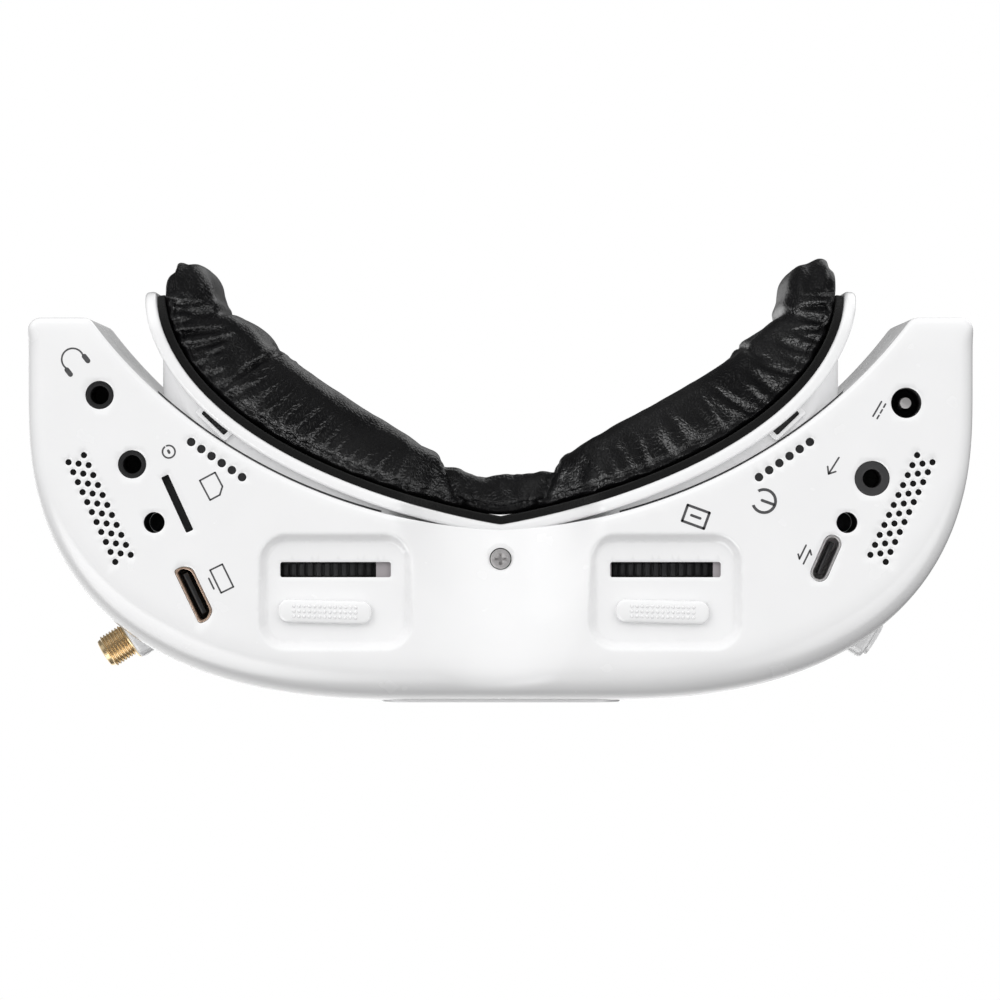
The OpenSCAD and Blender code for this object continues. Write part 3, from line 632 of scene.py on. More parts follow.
def round_corners(points, r, steps=4):
    """The loop with each corner replaced by a short curve."""
    out = []
    for i, p in enumerate(points):
        before, after = points[i - 1], points[(i + 1) % len(points)]
        for a in np.linspace(0, 1, steps + 1):
            start = p + (before - p) * min(r / np.linalg.norm(before - p), 0.45)
            end = p + (after - p) * min(r / np.linalg.norm(after - p), 0.45)
            out.append((1 - a) ** 2 * start + 2 * a * (1 - a) * p + a * a * end)
    return np.array(out)


def video_loop(grow):
    """The outline of the flat video socket, its two outer corners cut off slantwise."""
    l, w = VIDEO_HALF[0] + grow, VIDEO_HALF[1] + grow
    corners = np.array([(-l, -w), (l, -w), (l, w * 0.1), (l - 1.2, w), (-l + 1.2, w), (-l, w * 0.1)])
    return round_corners(corners, 0.75)


def sound_hole_places():
    """A slanting block of holes; its first and its last row have one hole each."""
    places = []
    for row in range(SOUND_ROWS):
        for column in range(SOUND_COLUMNS):
            cut = (row == 0 and column < SOUND_COLUMNS - 1) or (row == SOUND_ROWS - 1 and column > 0)
            if not cut:
                places.append(SOUND_AT + SOUND_ROW * row + SOUND_COLUMN * column)
    return places


def underside_holes():
    """The loops of every hole in the underside."""
    holes = [place(circle(r + GAP, 48), centre_mm(node)) for node, r in JACKS.items()]
    slot = densify(rounded_rect(*SLOT_SIZE, 0.4, 3), 1.0)
    knob_slot = densify(rounded_rect(*KNOB_SLOT, 0.3, 2), 1.0)
    for side in (1, -1):
        holes += [place(circle(WELL_R, 40), (side * WELL_AT[0], WELL_AT[1])),
                  place(slot, (side * SLOT_AT[0], SLOT_AT[1]))]
        holes += [place(circle(VENT_R, 18), (VENT_AT + VENT_STEP * i) * (side, 1)) for i in range(VENT_COUNT)]
        holes += [place(circle(SOUND_R, 16), at * (side, 1)) for at in sound_hole_places()]
    holes += [place(knob_slot, (x, KNOB_Y)) for x in KNOB_SLOT_X]
    holes += [place(densify(video_loop(GAP), 0.8), VIDEO_AT, VIDEO_TURN),
              place(densify(rounded_rect(*USB_SIZE, 1.7), 0.8), USB_AT, USB_TURN),
              place(densify(rounded_rect(*CARD_SIZE, 0.25, 3), 0.8), CARD_AT, CARD_TURN),
              place(circle(NOSE_SCREW_R, 32), (0, NOSE_SCREW_Y))]
    return holes


def plan_panel(height, holes, contours, sign):
    """The underside or the roof: a height field inside the outline, with lipped holes."""
    bends = np.radians(np.arange(10, 90, 10))
    rings = np.concatenate([OUTLINE - NORMALS * (EDGE_R * (1 - math.sin(a)))[:, None] for a in bends])
    flat_edge = OUTLINE - NORMALS * EDGE_R[:, None]
    step = 1.25
    gx, gy = np.meshgrid(np.arange(-HALF_W, HALF_W, step), np.arange(FRONT_Y, TIP_Y, step * 0.87))
    gx[1::2] += step / 2
    grid = np.stack([gx.ravel(), gy.ravel()], 1)
    grid = grid[inside(grid, flat_edge)]
    grid = grid[distance_to_loop(grid, flat_edge) > 0.5]
    scattered = np.concatenate([grid] + contours + [rings[inside(rings, OUTLINE)]])
    loops = [OUTLINE]
    for hole in holes:
        rim = offset_loop(hole, LIP)
        scattered = clear_of(scattered, rim, 0.3)
        loops += [hole, rim]
    flat, triangles = panel(scattered, loops, lambda middle: within(middle, OUTLINE, holes))
    z = height(flat)
    hole_points = np.concatenate(holes)
    for i, p in enumerate(flat):
        if np.abs(hole_points - p).sum(1).min() < 1e-3:
            z[i] += sign * LIP_DEPTH
    return np.column_stack([flat, z]), triangles


def pocket_contours():
    """Points that follow the sloped sides of the thumb pockets."""
    rings = []
    for side in (1, -1):
        for d in np.arange(-1.4, 1.01, 0.3):
            w, h = POCKET_SIZE[0] + 2 * d, POCKET_SIZE[1] + 2 * d
            ring = densify(rounded_rect(w, h, POCKET_R + d, 8), 0.9)
            rings.append(place(ring, (side * POCKET_AT[0], POCKET_AT[1])))
    return rings


def outline_at(s):
    """The point of the outline at an arc length."""
    loop = np.concatenate([OUTLINE, OUTLINE[:1]])
    return np.stack([np.interp(s, OUTLINE_S, loop[:, 0]), np.interp(s, OUTLINE_S, loop[:, 1])], -1)


def s_of(point):
    return OUTLINE_S[np.linalg.norm(OUTLINE - np.array(point), axis=1).argmin()]


COVER_MIDDLE_Z, COVER_HOLE, COVER_R = 27.5, (46.4, 41.4), 5.2
WHEEL_AT, WHEEL_WINDOW_R, WHEEL_WINDOW_H = (77.6, -13.6, 28.0), 7.6, 6.0
STRAP_Z = (6.5, 39.0)
STRAP_SIDE_Y, STRAP_TIP_X = (22.5, 27.0), (81.3, 85.8)      # a strap goes in at the side and out at the tip
EYE_OPENING_X, EYE_OPENING_Z = 58.0, (7.0, 48.0)
NOSE_KEEP_S, NOSE_KEEP_Z = 18.0, 14.0       # the opening's lower edge rises over the nose
PARTING = 0.13


def wall_holes():
    """The windows in the casing's wall, as loops of arc length and height."""
    holes = []

    def window(s0, s1, z0, z1, r):
        size = (s1 - s0, z1 - z0)
        holes.append(densify(rounded_rect(*size, r), 0.8) + ((s0 + s1) / 2, (z0 + z1) / 2))
    front = s_of((0, FRONT_Y))
    window(front - COVER_HOLE[0] / 2, front + COVER_HOLE[0] / 2,
           COVER_MIDDLE_Z - COVER_HOLE[1] / 2, COVER_MIDDLE_Z + COVER_HOLE[1] / 2, COVER_R)
    for side in (1, -1):
        near = np.linalg.norm(OUTLINE - (side * WHEEL_AT[0], WHEEL_AT[1]), axis=1) < WHEEL_WINDOW_R
        s = OUTLINE_S[:-1][near]
        window(s.min(), s.max(), WHEEL_AT[2] - WHEEL_WINDOW_H / 2, WHEEL_AT[2] + WHEEL_WINDOW_H / 2, 0.6)
        window(*sorted(s_of((side * HALF_W, y)) for y in STRAP_SIDE_Y), *STRAP_Z, 0.8)
        window(*sorted(s_of((side * x, TIP_Y)) for x in STRAP_TIP_X), *STRAP_Z, 0.8)
    reach = s_of((EYE_OPENING_X, bezier(*BACK, 0.62)[1]))
    s_back = OUTLINE_S[-1] - reach
    low, high = EYE_OPENING_Z
    over_nose = densify(round_corners(np.array([
        (-s_back, low), (-NOSE_KEEP_S, low), (-NOSE_KEEP_S + 4, NOSE_KEEP_Z), (NOSE_KEEP_S - 4, NOSE_KEEP_Z),
        (NOSE_KEEP_S, low), (s_back, low), (s_back, high), (-s_back, high)], float), 1.0), 0.8)
    holes += [over_nose, over_nose + (OUTLINE_S[-1], 0)]
    return holes


def wall_panel(low, high, holes, rows):
    """The wall between two heights along the outline, with its windows."""
    low, high = np.append(low, low[0]), np.append(high, high[0])
    share = np.linspace(0, 1, rows + 1)[1:-1]
    s_grid = np.repeat(OUTLINE_S[1:-1], len(share))
    z_grid = (low[1:-1, None] + (high - low)[1:-1, None] * share).ravel()
    scattered = np.stack([s_grid, z_grid], 1)
    bottom, top = np.stack([OUTLINE_S, low], 1), np.stack([OUTLINE_S, high], 1)
    border = np.concatenate([bottom, top[::-1]])
    loops = [border]
    for hole in holes:
        rim = offset_loop(hole, LIP)
        scattered = clear_of(scattered, rim, 0.25)
        loops += [hole, rim]
    flat, triangles = panel(scattered, loops, lambda middle: within(middle, border, holes))
    flat[:, 0] = np.clip(flat[:, 0], 0, OUTLINE_S[-1])
    plan = outline_at(flat[:, 0])
    normal = np.stack([np.interp(flat[:, 0], OUTLINE_S, np.append(way, way[0])) for way in NORMALS.T], 1)
    sunk = np.zeros(len(flat))
    for hole in holes:
        near = ((flat > hole.min(0) - 0.01) & (flat < hole.max(0) + 0.01)).all(1)
        index = np.where(near)[0]
        on = distance_to_loop(flat[index], hole) < 1e-3
        sunk[index[on]] = LIP_DEPTH
    plan = plan - normal * sunk[:, None]
    return np.column_stack([plan, flat[:, 1]]), triangles


def shell(name, parts, node):
    """One half of the casing: its panels joined, given a thickness, and with crisp hole edges."""
    vertices, faces, first = [], [], 0
    for points, triangles in parts:
        vertices.append(points)
        faces += [tuple(int(i) + first for i in t) for t in triangles]
        first += len(points)
    obj = make_object(name, np.concatenate(vertices), faces, WHITE)
    face_outwards(obj, (0, -25, SPLIT_Z))
    solidify = obj.modifiers.new("thickness", "SOLIDIFY")
    solidify.thickness = SKIN * MM
    solidify.offset = -1
    sharpen(bake(obj), 48)
    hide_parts(node)


WALL_ROWS = 9
BUTTON_COLLAR = 0.8     # how much wider a button is inside the roof


def build_casing():
    holes = wall_holes()
    low = underside_z(OUTLINE)
    high = roof_z(OUTLINE)
    split = np.full(len(OUTLINE), SPLIT_Z)
    floor_panel = plan_panel(underside_z, underside_holes(), pocket_contours(), 1)
    shell("lower_casing", [floor_panel, wall_panel(low, split - PARTING, holes, WALL_ROWS)], "lower_shell")
    buttons = []
    for node in ("power_button", "record_button", "mode_button", "menu_button"):
        r = (box_mm(node)[1][0] - box_mm(node)[0][0]) / 2 - BUTTON_COLLAR
        buttons.append(place(circle(r + GAP, 48), centre_mm(node)))
    roof_panel = plan_panel(roof_z, buttons, [], -1)
    shell("upper_casing", [roof_panel, wall_panel(split + PARTING, high, holes, WALL_ROWS)], "upper_shell")


build_casing()


# ---------------------------------------------------------------- the face side

FACE = ((0, -10.3), (20.4, -6.9), (66.6, 6.4), (68.4, 36.8))        # the faceplate's front face, a bezier
FACE_CURVE = bezier(*FACE, np.linspace(0, 1, 400))
FACE_S = np.concatenate([[0], np.cumsum(np.linalg.norm(np.diff(FACE_CURVE, axis=0), axis=1))])
FACE_END = FACE_S[-1]
PLATE_T = 2.3
PLATE_LOW, PLATE_HIGH = 2.0, 60.0
NOSE_CENTRE_Z, NOSE_R, NOSE_FILLET = -8.0, 21.5, 3.0
BACKING_T = 1.5


def face_point(s, d):
    """A point d behind the faceplate's front face, at an arc length from its middle."""
    side = np.where(s < 0, -1.0, 1.0)
    a = np.abs(s)
    x, y = np.interp(a, FACE_S, FACE_CURVE[:, 0]), np.interp(a, FACE_S, FACE_CURVE[:, 1])
    beyond = np.maximum(a - FACE_END, 0)
    step = 0.6
    on = np.clip(a, step, FACE_END - step)
    x1, y1 = np.interp(on + step, FACE_S, FACE_CURVE[:, 0]), np.interp(on + step, FACE_S, FACE_CURVE[:, 1])
    x0, y0 = np.interp(on - step, FACE_S, FACE_CURVE[:, 0]), np.interp(on - step, FACE_S, FACE_CURVE[:, 1])
    tx, ty = x1 - x0, y1 - y0
    size = np.maximum(np.hypot(tx, ty), 1e-9)
    tx, ty = tx / size, ty / size
    middle = np.clip(a / 3, 0, 1)
    nx, ny = -ty * middle, tx
    size = np.hypot(nx, ny)
    nx, ny = nx / size, ny / size
    return np.stack([side * (x + tx * beyond + nx * d), y + ty * beyond + ny * d], -1)


def s_at_x(x):
    return np.sign(x) * np.interp(np.abs(x), FACE_CURVE[:, 0], FACE_S)


def front_loop(half, low, high, corner, nose_r, steps=14, notch_steps=28, reach=1.25, along=s_at_x):
    """A front outline, anticlockwise, with rounded corners and a notch for the nose."""
    def corner_points(quarter, x, z):
        turns = [math.pi / 2 * (quarter + i / steps) for i in range(steps + 1)]
        return [(x + corner * math.cos(a), z + corner * math.sin(a)) for a in turns]
    points = corner_points(0, half - corner, high - corner)
    points += corner_points(1, corner - half, high - corner)
    points += corner_points(2, corner - half, low + corner)
    notch = reach * math.sqrt(nose_r ** 2 - (low - NOSE_CENTRE_Z) ** 2)
    for i in range(-notch_steps, notch_steps + 1):
        x = notch * i / notch_steps
        arc = NOSE_CENTRE_Z + math.sqrt(nose_r ** 2 - x * x) if abs(x) < nose_r else low - 3 * NOSE_FILLET
        points.append((along(x), soft_max(low, arc, NOSE_FILLET)))
    return np.array(points + corner_points(3, half - corner, low + corner), float)


SHEET_STEP = 2.0


def face_sheet(name, outer, inner, from_d, thickness, bevel, replaced, material):
    """A curved frame: a flat pattern with a hole, bent around the face and thickened."""
    outer, inner = densify(outer, SHEET_STEP), densify(inner, SHEET_STEP)
    flat, triangles = ring_pattern(outer, inner, SHEET_STEP, SHEET_STEP * 0.6)
    bent = np.column_stack([face_point(flat[:, 0], from_d), flat[:, 1]])
    obj = make_object(name, bent, [tuple(int(i) for i in t) for t in triangles], material)
    face_outwards(obj, (0, 60, 30))
    solidify = obj.modifiers.new("thickness", "SOLIDIFY")
    solidify.thickness = thickness * MM
    solidify.offset = -1
    solidify.use_even_offset = True
    edge = obj.modifiers.new("edges", "BEVEL")
    edge.width = bevel * MM
    edge.segments = 4
    edge.limit_method = "ANGLE"
    edge.angle_limit = math.radians(50)
    sharpen(bake(obj), 50)
    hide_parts(replaced)


SKIRT_X, SKIRT_LOW, SKIRT_HIGH, SKIRT_CORNER = 65.2, 5.0, 50.0, 8.0
SKIRT_T = 2.2
SKIRT_ROWS = 8
VENT_WINDOW_AT, VENT_WINDOW_TURN = (54.6, 11.8), 44
VENT_WINDOW, VENT_WINDOW_RIM = (6.0, 1.5), (8.0, 3.0)


def build_skirt():
    """The band that joins the casing to the faceplate."""
    back = bezier(*BACK, np.linspace(0, 1, 200))
    outer = front_loop(SKIRT_X, SKIRT_LOW, SKIRT_HIGH, SKIRT_CORNER, NOSE_R + 3, 10, 20, 1.2, lambda x: x)
    outer = densify(outer, 1.5)
    n, rows = len(outer), SKIRT_ROWS
    vertices, faces = [], []
    for inset in (0.0, SKIRT_T):
        loop = offset_loop(outer, -inset)
        x = np.abs(loop[:, 0])
        near = np.interp(x, back[:, 0], back[:, 1]) - 1.5
        far = np.interp(x, FACE_CURVE[:, 0], FACE_CURVE[:, 1]) + 0.8
        for row in range(rows + 1):
            y = near + (far - near) * row / rows
            vertices += [(p[0], q, p[1]) for p, q in zip(loop, y)]
    size = n * (rows + 1)
    for a in range(0, rows * n, n):
        faces += band(a + n, a, n) + band(size + a, size + a + n, n)
    faces += band(0, size, n) + band(rows * n, size + rows * n, n)
    sharpen(make_object("face_skirt", vertices, faces, WHITE), 50)


def build_skirt_vents():
    """The small framed vent on each side of the skirt."""
    rim = densify(rounded_rect(*VENT_WINDOW_RIM, 0.5, 3), 0.6)
    hole = rim * np.divide(VENT_WINDOW, VENT_WINDOW_RIM)
    behind = densify(rounded_rect(VENT_WINDOW[0] + 0.4, VENT_WINDOW[1] + 0.4, 0.3, 3), 0.6)
    for name, side in (("left_vent", 1), ("right_vent", -1)):
        where = (side * VENT_WINDOW_AT[0], VENT_WINDOW_AT[1]), side * VENT_WINDOW_TURN
        prism(name + "_frame", rim, SKIRT_LOW - 0.8, SKIRT_LOW + 0.6, WHITE, 0.18, *where, hole=hole)
        # a dark plate behind each vent window: painted shade in the opening
        prism(name + "_opening_shade", behind, SKIRT_LOW - 0.12, SKIRT_LOW + 0.4, PAINTED_SHADE, 0.05, *where)


def build_faceplate():
    """The white frame round the face, and the looped strip that holds the pad."""
    outer = front_loop(FACE_END, PLATE_LOW, PLATE_HIGH, 9, NOSE_R)
    inner = front_loop(s_at_x(57.0), PLATE_LOW + 10, PLATE_HIGH - 10, 8, NOSE_R + 10)
    face_sheet("face_frame", outer, inner, 0.0, PLATE_T, 0.8, "faceplate", WHITE)
    outer = front_loop(FACE_END - 0.8, PLATE_LOW + 1.1, PLATE_HIGH - 1.2, 8.5, NOSE_R + 1.0)
    inner = front_loop(s_at_x(56.0), PLATE_LOW + 10.5, PLATE_HIGH - 10.5, 8, NOSE_R + 10.5)
    face_sheet("hook_strip", outer, inner, PLATE_T + 0.02, BACKING_T, 0.35, "pad_backing",
               MATERIALS["hook_strip"])


build_skirt()
build_skirt_vents()
build_faceplate()


# ---------------------------------------------------------------- the leather pad

PAD_FROM = PLATE_T + BACKING_T + 0.1
PAD_CHEEK_T = 14.5      # the padding's depth where it is thickest
PAD_END_T = 9.6         # and in its rolled ends
PAD_ROUND = 4.6         # the rounding of its edges
PAD_SETTLE = 1.7        # what smoothing takes off its cheeks
PAD_VOXEL = 1.8
PAD_START = 0.93        # the pad starts a little flat and swells
PAD_CAP = 0.8           # the most that it may swell
PAD_ROLL_R = 6.2        # the rolled ends of the pad
PAD_OVERHANG = 6.2      # how far they stand out past the faceplate's tips
PAD_FRAMES = 20         # how long it is left to swell
PAD_FACE_NOSE_Y = 2.6       # the padding's face side runs straight across the nose
PAD_FACE_FROM = (8.6, 2.6)      # and straight along each cheek from here
PAD_FACE_TO = {1: (52.5, 32.6), -1: (49.5, 27.3)}       # to here, on the left and on the flatter right


def pad_depth(s):
    """The padding's depth: as far as its nearly straight face side, and less in the rolled ends."""
    a = np.abs(s)
    foot = face_point(a, PAD_FROM)
    way = face_point(a, PAD_FROM + 1) - foot
    rise = {side: (to[1] - PAD_FACE_FROM[1]) / (to[0] - PAD_FACE_FROM[0]) for side, to in PAD_FACE_TO.items()}
    slope = np.where(s < 0, rise[-1], rise[1])
    over_nose = (PAD_FACE_NOSE_Y - foot[:, 1]) / np.maximum(way[:, 1], 0.3)
    over_nose[a > 14] = 0
    missing = PAD_FACE_FROM[1] + slope * (foot[:, 0] - PAD_FACE_FROM[0]) - foot[:, 1]
    over_cheek = missing / (way[:, 1] - slope * way[:, 0])
    full = np.maximum(over_nose, over_cheek) + PAD_SETTLE * smooth((a - 4) / 20)
    end = smooth((a - FACE_END + 17) / 12)
    return full * (1 - end) + PAD_END_T * end


def pad_form():
    """The pad before it is inflated: a ring with round sides, thick over the cheeks."""
    outer = front_loop(FACE_END + PAD_OVERHANG, PLATE_LOW + 1.6, PLATE_HIGH - 1.8, 8, NOSE_R + 1.8)
    inner = front_loop(s_at_x(53.5), PLATE_LOW + 13.5, PLATE_HIGH - 12.5, 8, NOSE_R + 12)
    outer, inner = densify(outer, 1.6), densify(inner, 1.6)
    flat, triangles = ring_pattern(outer, inner, 1.5, 0.8)
    edge = np.minimum(distance_to_loop(flat, outer), distance_to_loop(flat, inner))
    u = 1 - np.clip(edge / PAD_ROUND, 0, 1)
    crown = 0.3 + 0.7 * np.sqrt(np.maximum(1 - u * u, 0))
    depth = pad_depth(flat[:, 0]) * crown * PAD_START
    n = len(flat)
    roll = np.clip((np.abs(flat[:, 0]) - (FACE_END + PAD_OVERHANG - PAD_ROLL_R)) / PAD_ROLL_R, 0, 1)
    half = depth / 2 * np.sqrt(1 - roll * roll * 0.94)
    near = np.column_stack([face_point(flat[:, 0], PAD_FROM + depth / 2 - half), flat[:, 1]])
    far = np.column_stack([face_point(flat[:, 0], PAD_FROM + depth / 2 + half), flat[:, 1]])
    faces = [tuple(int(i) for i in t) for t in triangles]
    faces += [tuple(int(i) + n for i in t[::-1]) for t in triangles]
    sides = {}
    for t in triangles:
        for a, b in ((t[0], t[1]), (t[1], t[2]), (t[2], t[0])):
            key = (min(a, b), max(a, b))
            sides[key] = sides.get(key, []) + [(int(a), int(b))]
    for uses in sides.values():
        if len(uses) == 1:
            a, b = uses[0]
            faces.append((b, a, a + n, b + n))
    return make_object("leather_pad", np.concatenate([near, far]), faces, MATERIALS["leather"], body=None)


def nearest_face_place(co):
    """For points in millimetres: their arc length along the face, and their depth behind the faceplate."""
    s = np.linspace(0, FACE_END, 260)
    line, ahead = face_point(s, 0.0), face_point(s, 1.0)
    plan = np.column_stack([np.abs(co[:, 0]), co[:, 1]])
    found = np.zeros(len(co), int)
    for first in range(0, len(co), 4000):
        part = plan[first:first + 4000]
        found[first:first + 4000] = np.linalg.norm(part[:, None] - line[None], axis=2).argmin(1)
    normal = ahead - line
    depth = ((plan - line[found]) * normal[found]).sum(1)
    return s[found] * np.where(co[:, 0] < 0, -1, 1), depth


def swell(obj, rest):
    """Lets the pad swell as cloth under a little pressure, each point by no more than the cap."""
    cloth = obj.modifiers.new("cloth", "CLOTH")
    settings = cloth.settings
    settings.quality = 6
    settings.mass = 0.25
    settings.tension_stiffness = settings.compression_stiffness = 22
    settings.shear_stiffness = 8
    settings.bending_stiffness = 0.35
    settings.use_pressure = True
    settings.uniform_pressure_force = 4
    settings.shrink_min = -0.035
    settings.effector_weights.gravity = 0
    settings.vertex_group_mass = "stuck"
    cloth.collision_settings.use_self_collision = False
    scene = bpy.context.scene
    scene.frame_start, scene.frame_end = 1, PAD_FRAMES
    for number in range(1, PAD_FRAMES + 1):
        scene.frame_set(number)
    bake(obj)
    moved = read(obj.data.vertices, "co") - rest
    size = np.linalg.norm(moved, axis=1, keepdims=True)
    moved *= np.minimum(1, PAD_CAP * MM / np.maximum(size, 1e-12))
    obj.data.vertices.foreach_set("co", (rest + moved).ravel())
    scene.frame_set(1)


def subdivide(obj):
    finer = obj.modifiers.new("finer", "SUBSURF")
    finer.levels = finer.render_levels = 1


def inflate(obj):
    """The pad's mesh made even, stuck to its strip, swollen and smoothed."""
    remesh = obj.modifiers.new("remesh", "REMESH")
    remesh.mode = "VOXEL"
    remesh.voxel_size = PAD_VOXEL * MM
    bake(obj)
    rest = read(obj.data.vertices, "co")
    _, depth = nearest_face_place(rest / MM)
    pins = obj.vertex_groups.new(name="stuck")
    pins.add([int(i) for i in np.where(depth < PAD_FROM + 1.2)[0]], 1.0, "REPLACE")
    swell(obj, rest)
    obj.vertex_groups.clear()
    soften = obj.modifiers.new("soften", "SMOOTH")
    soften.factor, soften.iterations = 0.5, 3
    subdivide(obj)
    bake(obj)
    return obj


CREASE_FROM, CREASE_DEPTH = 15.0, 0.95
PAD_FOLDS = {        # place, width, depth and slant of the deep folds on each side
    1: ((FACE_END - 9.5, 1.5, 0.8, 0.2), (58.5, 0.9, 0.8, 0.5)),
    -1: ((FACE_END - 9.5, 1.6, 0.6, 0.1), (64.0, 1.1, 0.5, 0.2)),
}


def crease_list(rng):
    """The pulled folds that run across the pad: place, width, depth, slant and reach of each."""
    creases = []
    s = CREASE_FROM
    while s < FACE_END + 3:
        near_end = smooth((s - FACE_END + 36) / 24)
        strength = 0.5 + 0.55 * near_end
        creases.append((s, rng.uniform(0.55, 1.2), strength * rng.uniform(0.5, 1.0), rng.uniform(0.05, 0.5),
                        rng.uniform(0.2, 1)))
        s += rng.uniform(1.9, 4.3) * (1.2 - 0.4 * near_end)
    return creases


def groove(d, width, lips, lip_at, lip_width, deep=1.0):
    """A groove with a raised lip on each side, at distances from its middle."""
    lip = np.exp(-((np.abs(d) - lip_at) / lip_width) ** 2)
    return lips * lip - deep * np.exp(-(d / width) ** 2)


NOSE_SEAM_S, NOSE_SEAM_SLANT = 8.2, 0.7     # the seam between the nose's and a cheek's padding
NOSE_TUCKS = (-5.8, 0.3, 6.1)
PIPING_DEPTH = 1.5      # the edge seam runs this far from the strip


def wrinkle(obj):
    """Presses the sewn creases and folds into the swollen leather."""
    co = read(obj.data.vertices, "co") / MM
    normals = read(obj.data.vertices, "normal")
    along, depth = nearest_face_place(co)
    depth = depth - PAD_FROM
    share = np.clip(depth / pad_depth(along), 0, 1.2)
    rng = random.Random(7)
    shift = -0.5 * np.exp(-((depth - PIPING_DEPTH) / 0.6) ** 2)
    for side in (1, -1):
        for s0, width, strength, slant, reach in crease_list(rng):
            d = along * side - s0 + slant * (depth - 4) - 0.5 * np.sin(share * 3 + s0)
            d += 0.5 * np.sin(co[:, 2] * 0.23 + s0 * 1.7)
            fade = smooth(share / 0.12) * smooth((0.42 + 0.42 * reach - share) / 0.34)
            shift += groove(d, width, 0.45, 1.9 * width, 0.9 * width) * fade * strength * CREASE_DEPTH
        for s0, width, depth_mm, slant in PAD_FOLDS[side]:
            d = along * side - s0 + slant * (depth - PAD_CHEEK_T)
            shift += groove(d, width, 0.25, 2 * width, width) * smooth((share - 0.1) / 0.5) * depth_mm
        d = along * side - NOSE_SEAM_S - NOSE_SEAM_SLANT * depth
        shift += groove(d, 0.9, 0.3, 2.3, 1.1, 1.1) * smooth(share / 0.1)
        for s0 in NOSE_TUCKS:
            d = along - s0 - 0.12 * side * depth
            shift -= 0.22 * np.exp(-(d / 0.8) ** 2) * smooth(share / 0.2)
    co += normals * np.clip(shift, -1.4, 0.6)[:, None]
    obj.data.vertices.foreach_set("co", (co * MM).ravel())
    obj.data.update()


def build_pad():
    pad = inflate(pad_form())
    subdivide(pad)
    bake(pad)
    wrinkle(pad)
    pad.data.polygons.foreach_set("use_smooth", [True] * len(pad.data.polygons))
    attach(pad, CASING)
    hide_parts("face_pad")


build_pad()


# ---------------------------------------------------------------- small parts

THREAD_PITCH, THREAD_DEPTH = 0.64, 0.34
ROOT_Z = -4.0       # the connector starts this deep inside the casing
SOCKET_R, THROAT_R, SOCKET_DEPTH = 2.3, 1.62, 3.3
BOSS_SIZE = (10, 9)


def thread_profile(r, length):
    """Half of a threaded rod's section, as radius and height, with ring-shaped threads."""
    points = [(r - THREAD_DEPTH, ROOT_Z)]
    for i in range(int(length / THREAD_PITCH)):
        for radius, turn in ((r - THREAD_DEPTH, 0.1), (r, 0.4), (r, 0.65), (r - THREAD_DEPTH, 0.95)):
            points.append((radius, (i + turn) * THREAD_PITCH))
    return points


def antenna_place():
    """The foot of the antenna's thread and the way that it points."""
    mount = MOUNTS["antenna_thread"]
    axis = np.array(mount["axis"], float)
    return np.array(mount["pos_m"]) / MM - axis * mount["dims"]["length_mm"] / 2, axis


def build_antenna_connector():
    """The gilt threaded socket for an antenna."""
    root, axis = antenna_place()
    dims = MOUNTS["antenna_thread"]["dims"]
    r, length = dims["r_mm"] * 1.03, dims["length_mm"] + 1.3
    profile = thread_profile(r, length - 0.5)
    profile += [(r - 0.5, length - 0.15), (r - 0.75, length), (SOCKET_R + 0.15, length)]
    profile += [(SOCKET_R, length - 0.25), (SOCKET_R, length - SOCKET_DEPTH)]
    profile += [(THROAT_R, length - SOCKET_DEPTH - 0.1), (THROAT_R, ROOT_Z)]
    connector = lathe("antenna_socket", profile, MATERIALS["gold_plate"], root, axis, 72, sharp=30)
    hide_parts("antenna_connector")
    ring = [(r + 0.05, -0.25), (r + 0.95, -0.25), (r + 1.0, 0.1), (r + 0.8, 0.35), (r + 0.05, 0.35)]
    lathe("antenna_flange", ring, MATERIALS["gold_plate"], root, axis, 48)


def build_bosses():
    """The white blocks that the antenna socket and its blank cap stand on."""
    root, axis = antenna_place()
    for side, name in ((1, "left_boss"), (-1, "right_boss")):
        at = np.array((side * root[0], root[1], root[2]))
        way = np.array((side * axis[0], axis[1], 0))
        boss = prism(name, densify(rounded_rect(*BOSS_SIZE, 2.2, 6), 1.0), -5.0, -0.05, WHITE, 0.7, body=None)
        across = Vector((-way[1], way[0], 0))
        turn = Matrix((Vector((0, 0, 1)), across, Vector(way))).transposed().to_4x4()
        boss.data.transform(Matrix.Translation(Vector(at * MM)) @ turn)
        face_outwards(boss, at - way * 3)
        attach(boss, CASING)


def well(name, x, y, r, wall, low, high, material):
    """A tube around a screw, a little wider than the hole in the underside."""
    r += 0.02
    profile = [(r, low), (r + wall, low), (r + wall, high), (r, high)]
    lathe(name, profile, material, (x, y, 0), segments=40)


def build_wells():
    """The tubes around the case screws and the nose screw."""
    low = float(underside_z(np.array([(0.0, NOSE_SCREW_Y)]))[0]) + 0.2
    well("nose_well", 0, NOSE_SCREW_Y, NOSE_SCREW_R, 0.78, low, low + 3, WHITE)
    for name, x in (("left_well", WELL_AT[0]), ("right_well", -WELL_AT[0])):
        low = float(underside_z(np.array([(x, WELL_AT[1])]))[0]) + 0.3
        # the side wells are near-black tubes: painted shade down the deep screw holes
        well(name, x, WELL_AT[1], WELL_R, 0.88, low, 15.5, PAINTED_SHADE)


KNOB_SIZE, KNOB_OUT = (17.8, 4.4), 0.3
DOT_PITCH = 0.98
DOT_STEPS = ((0.36, 0.34), (0.31, 0.16), (0.18, 0.06))      # the radius and the height of a dot's rings
SHUTTER_SIZE, SHUTTER_T = (25.4, 17.5), 0.7
SLOT_WINDOW = (19.4, 3.6)


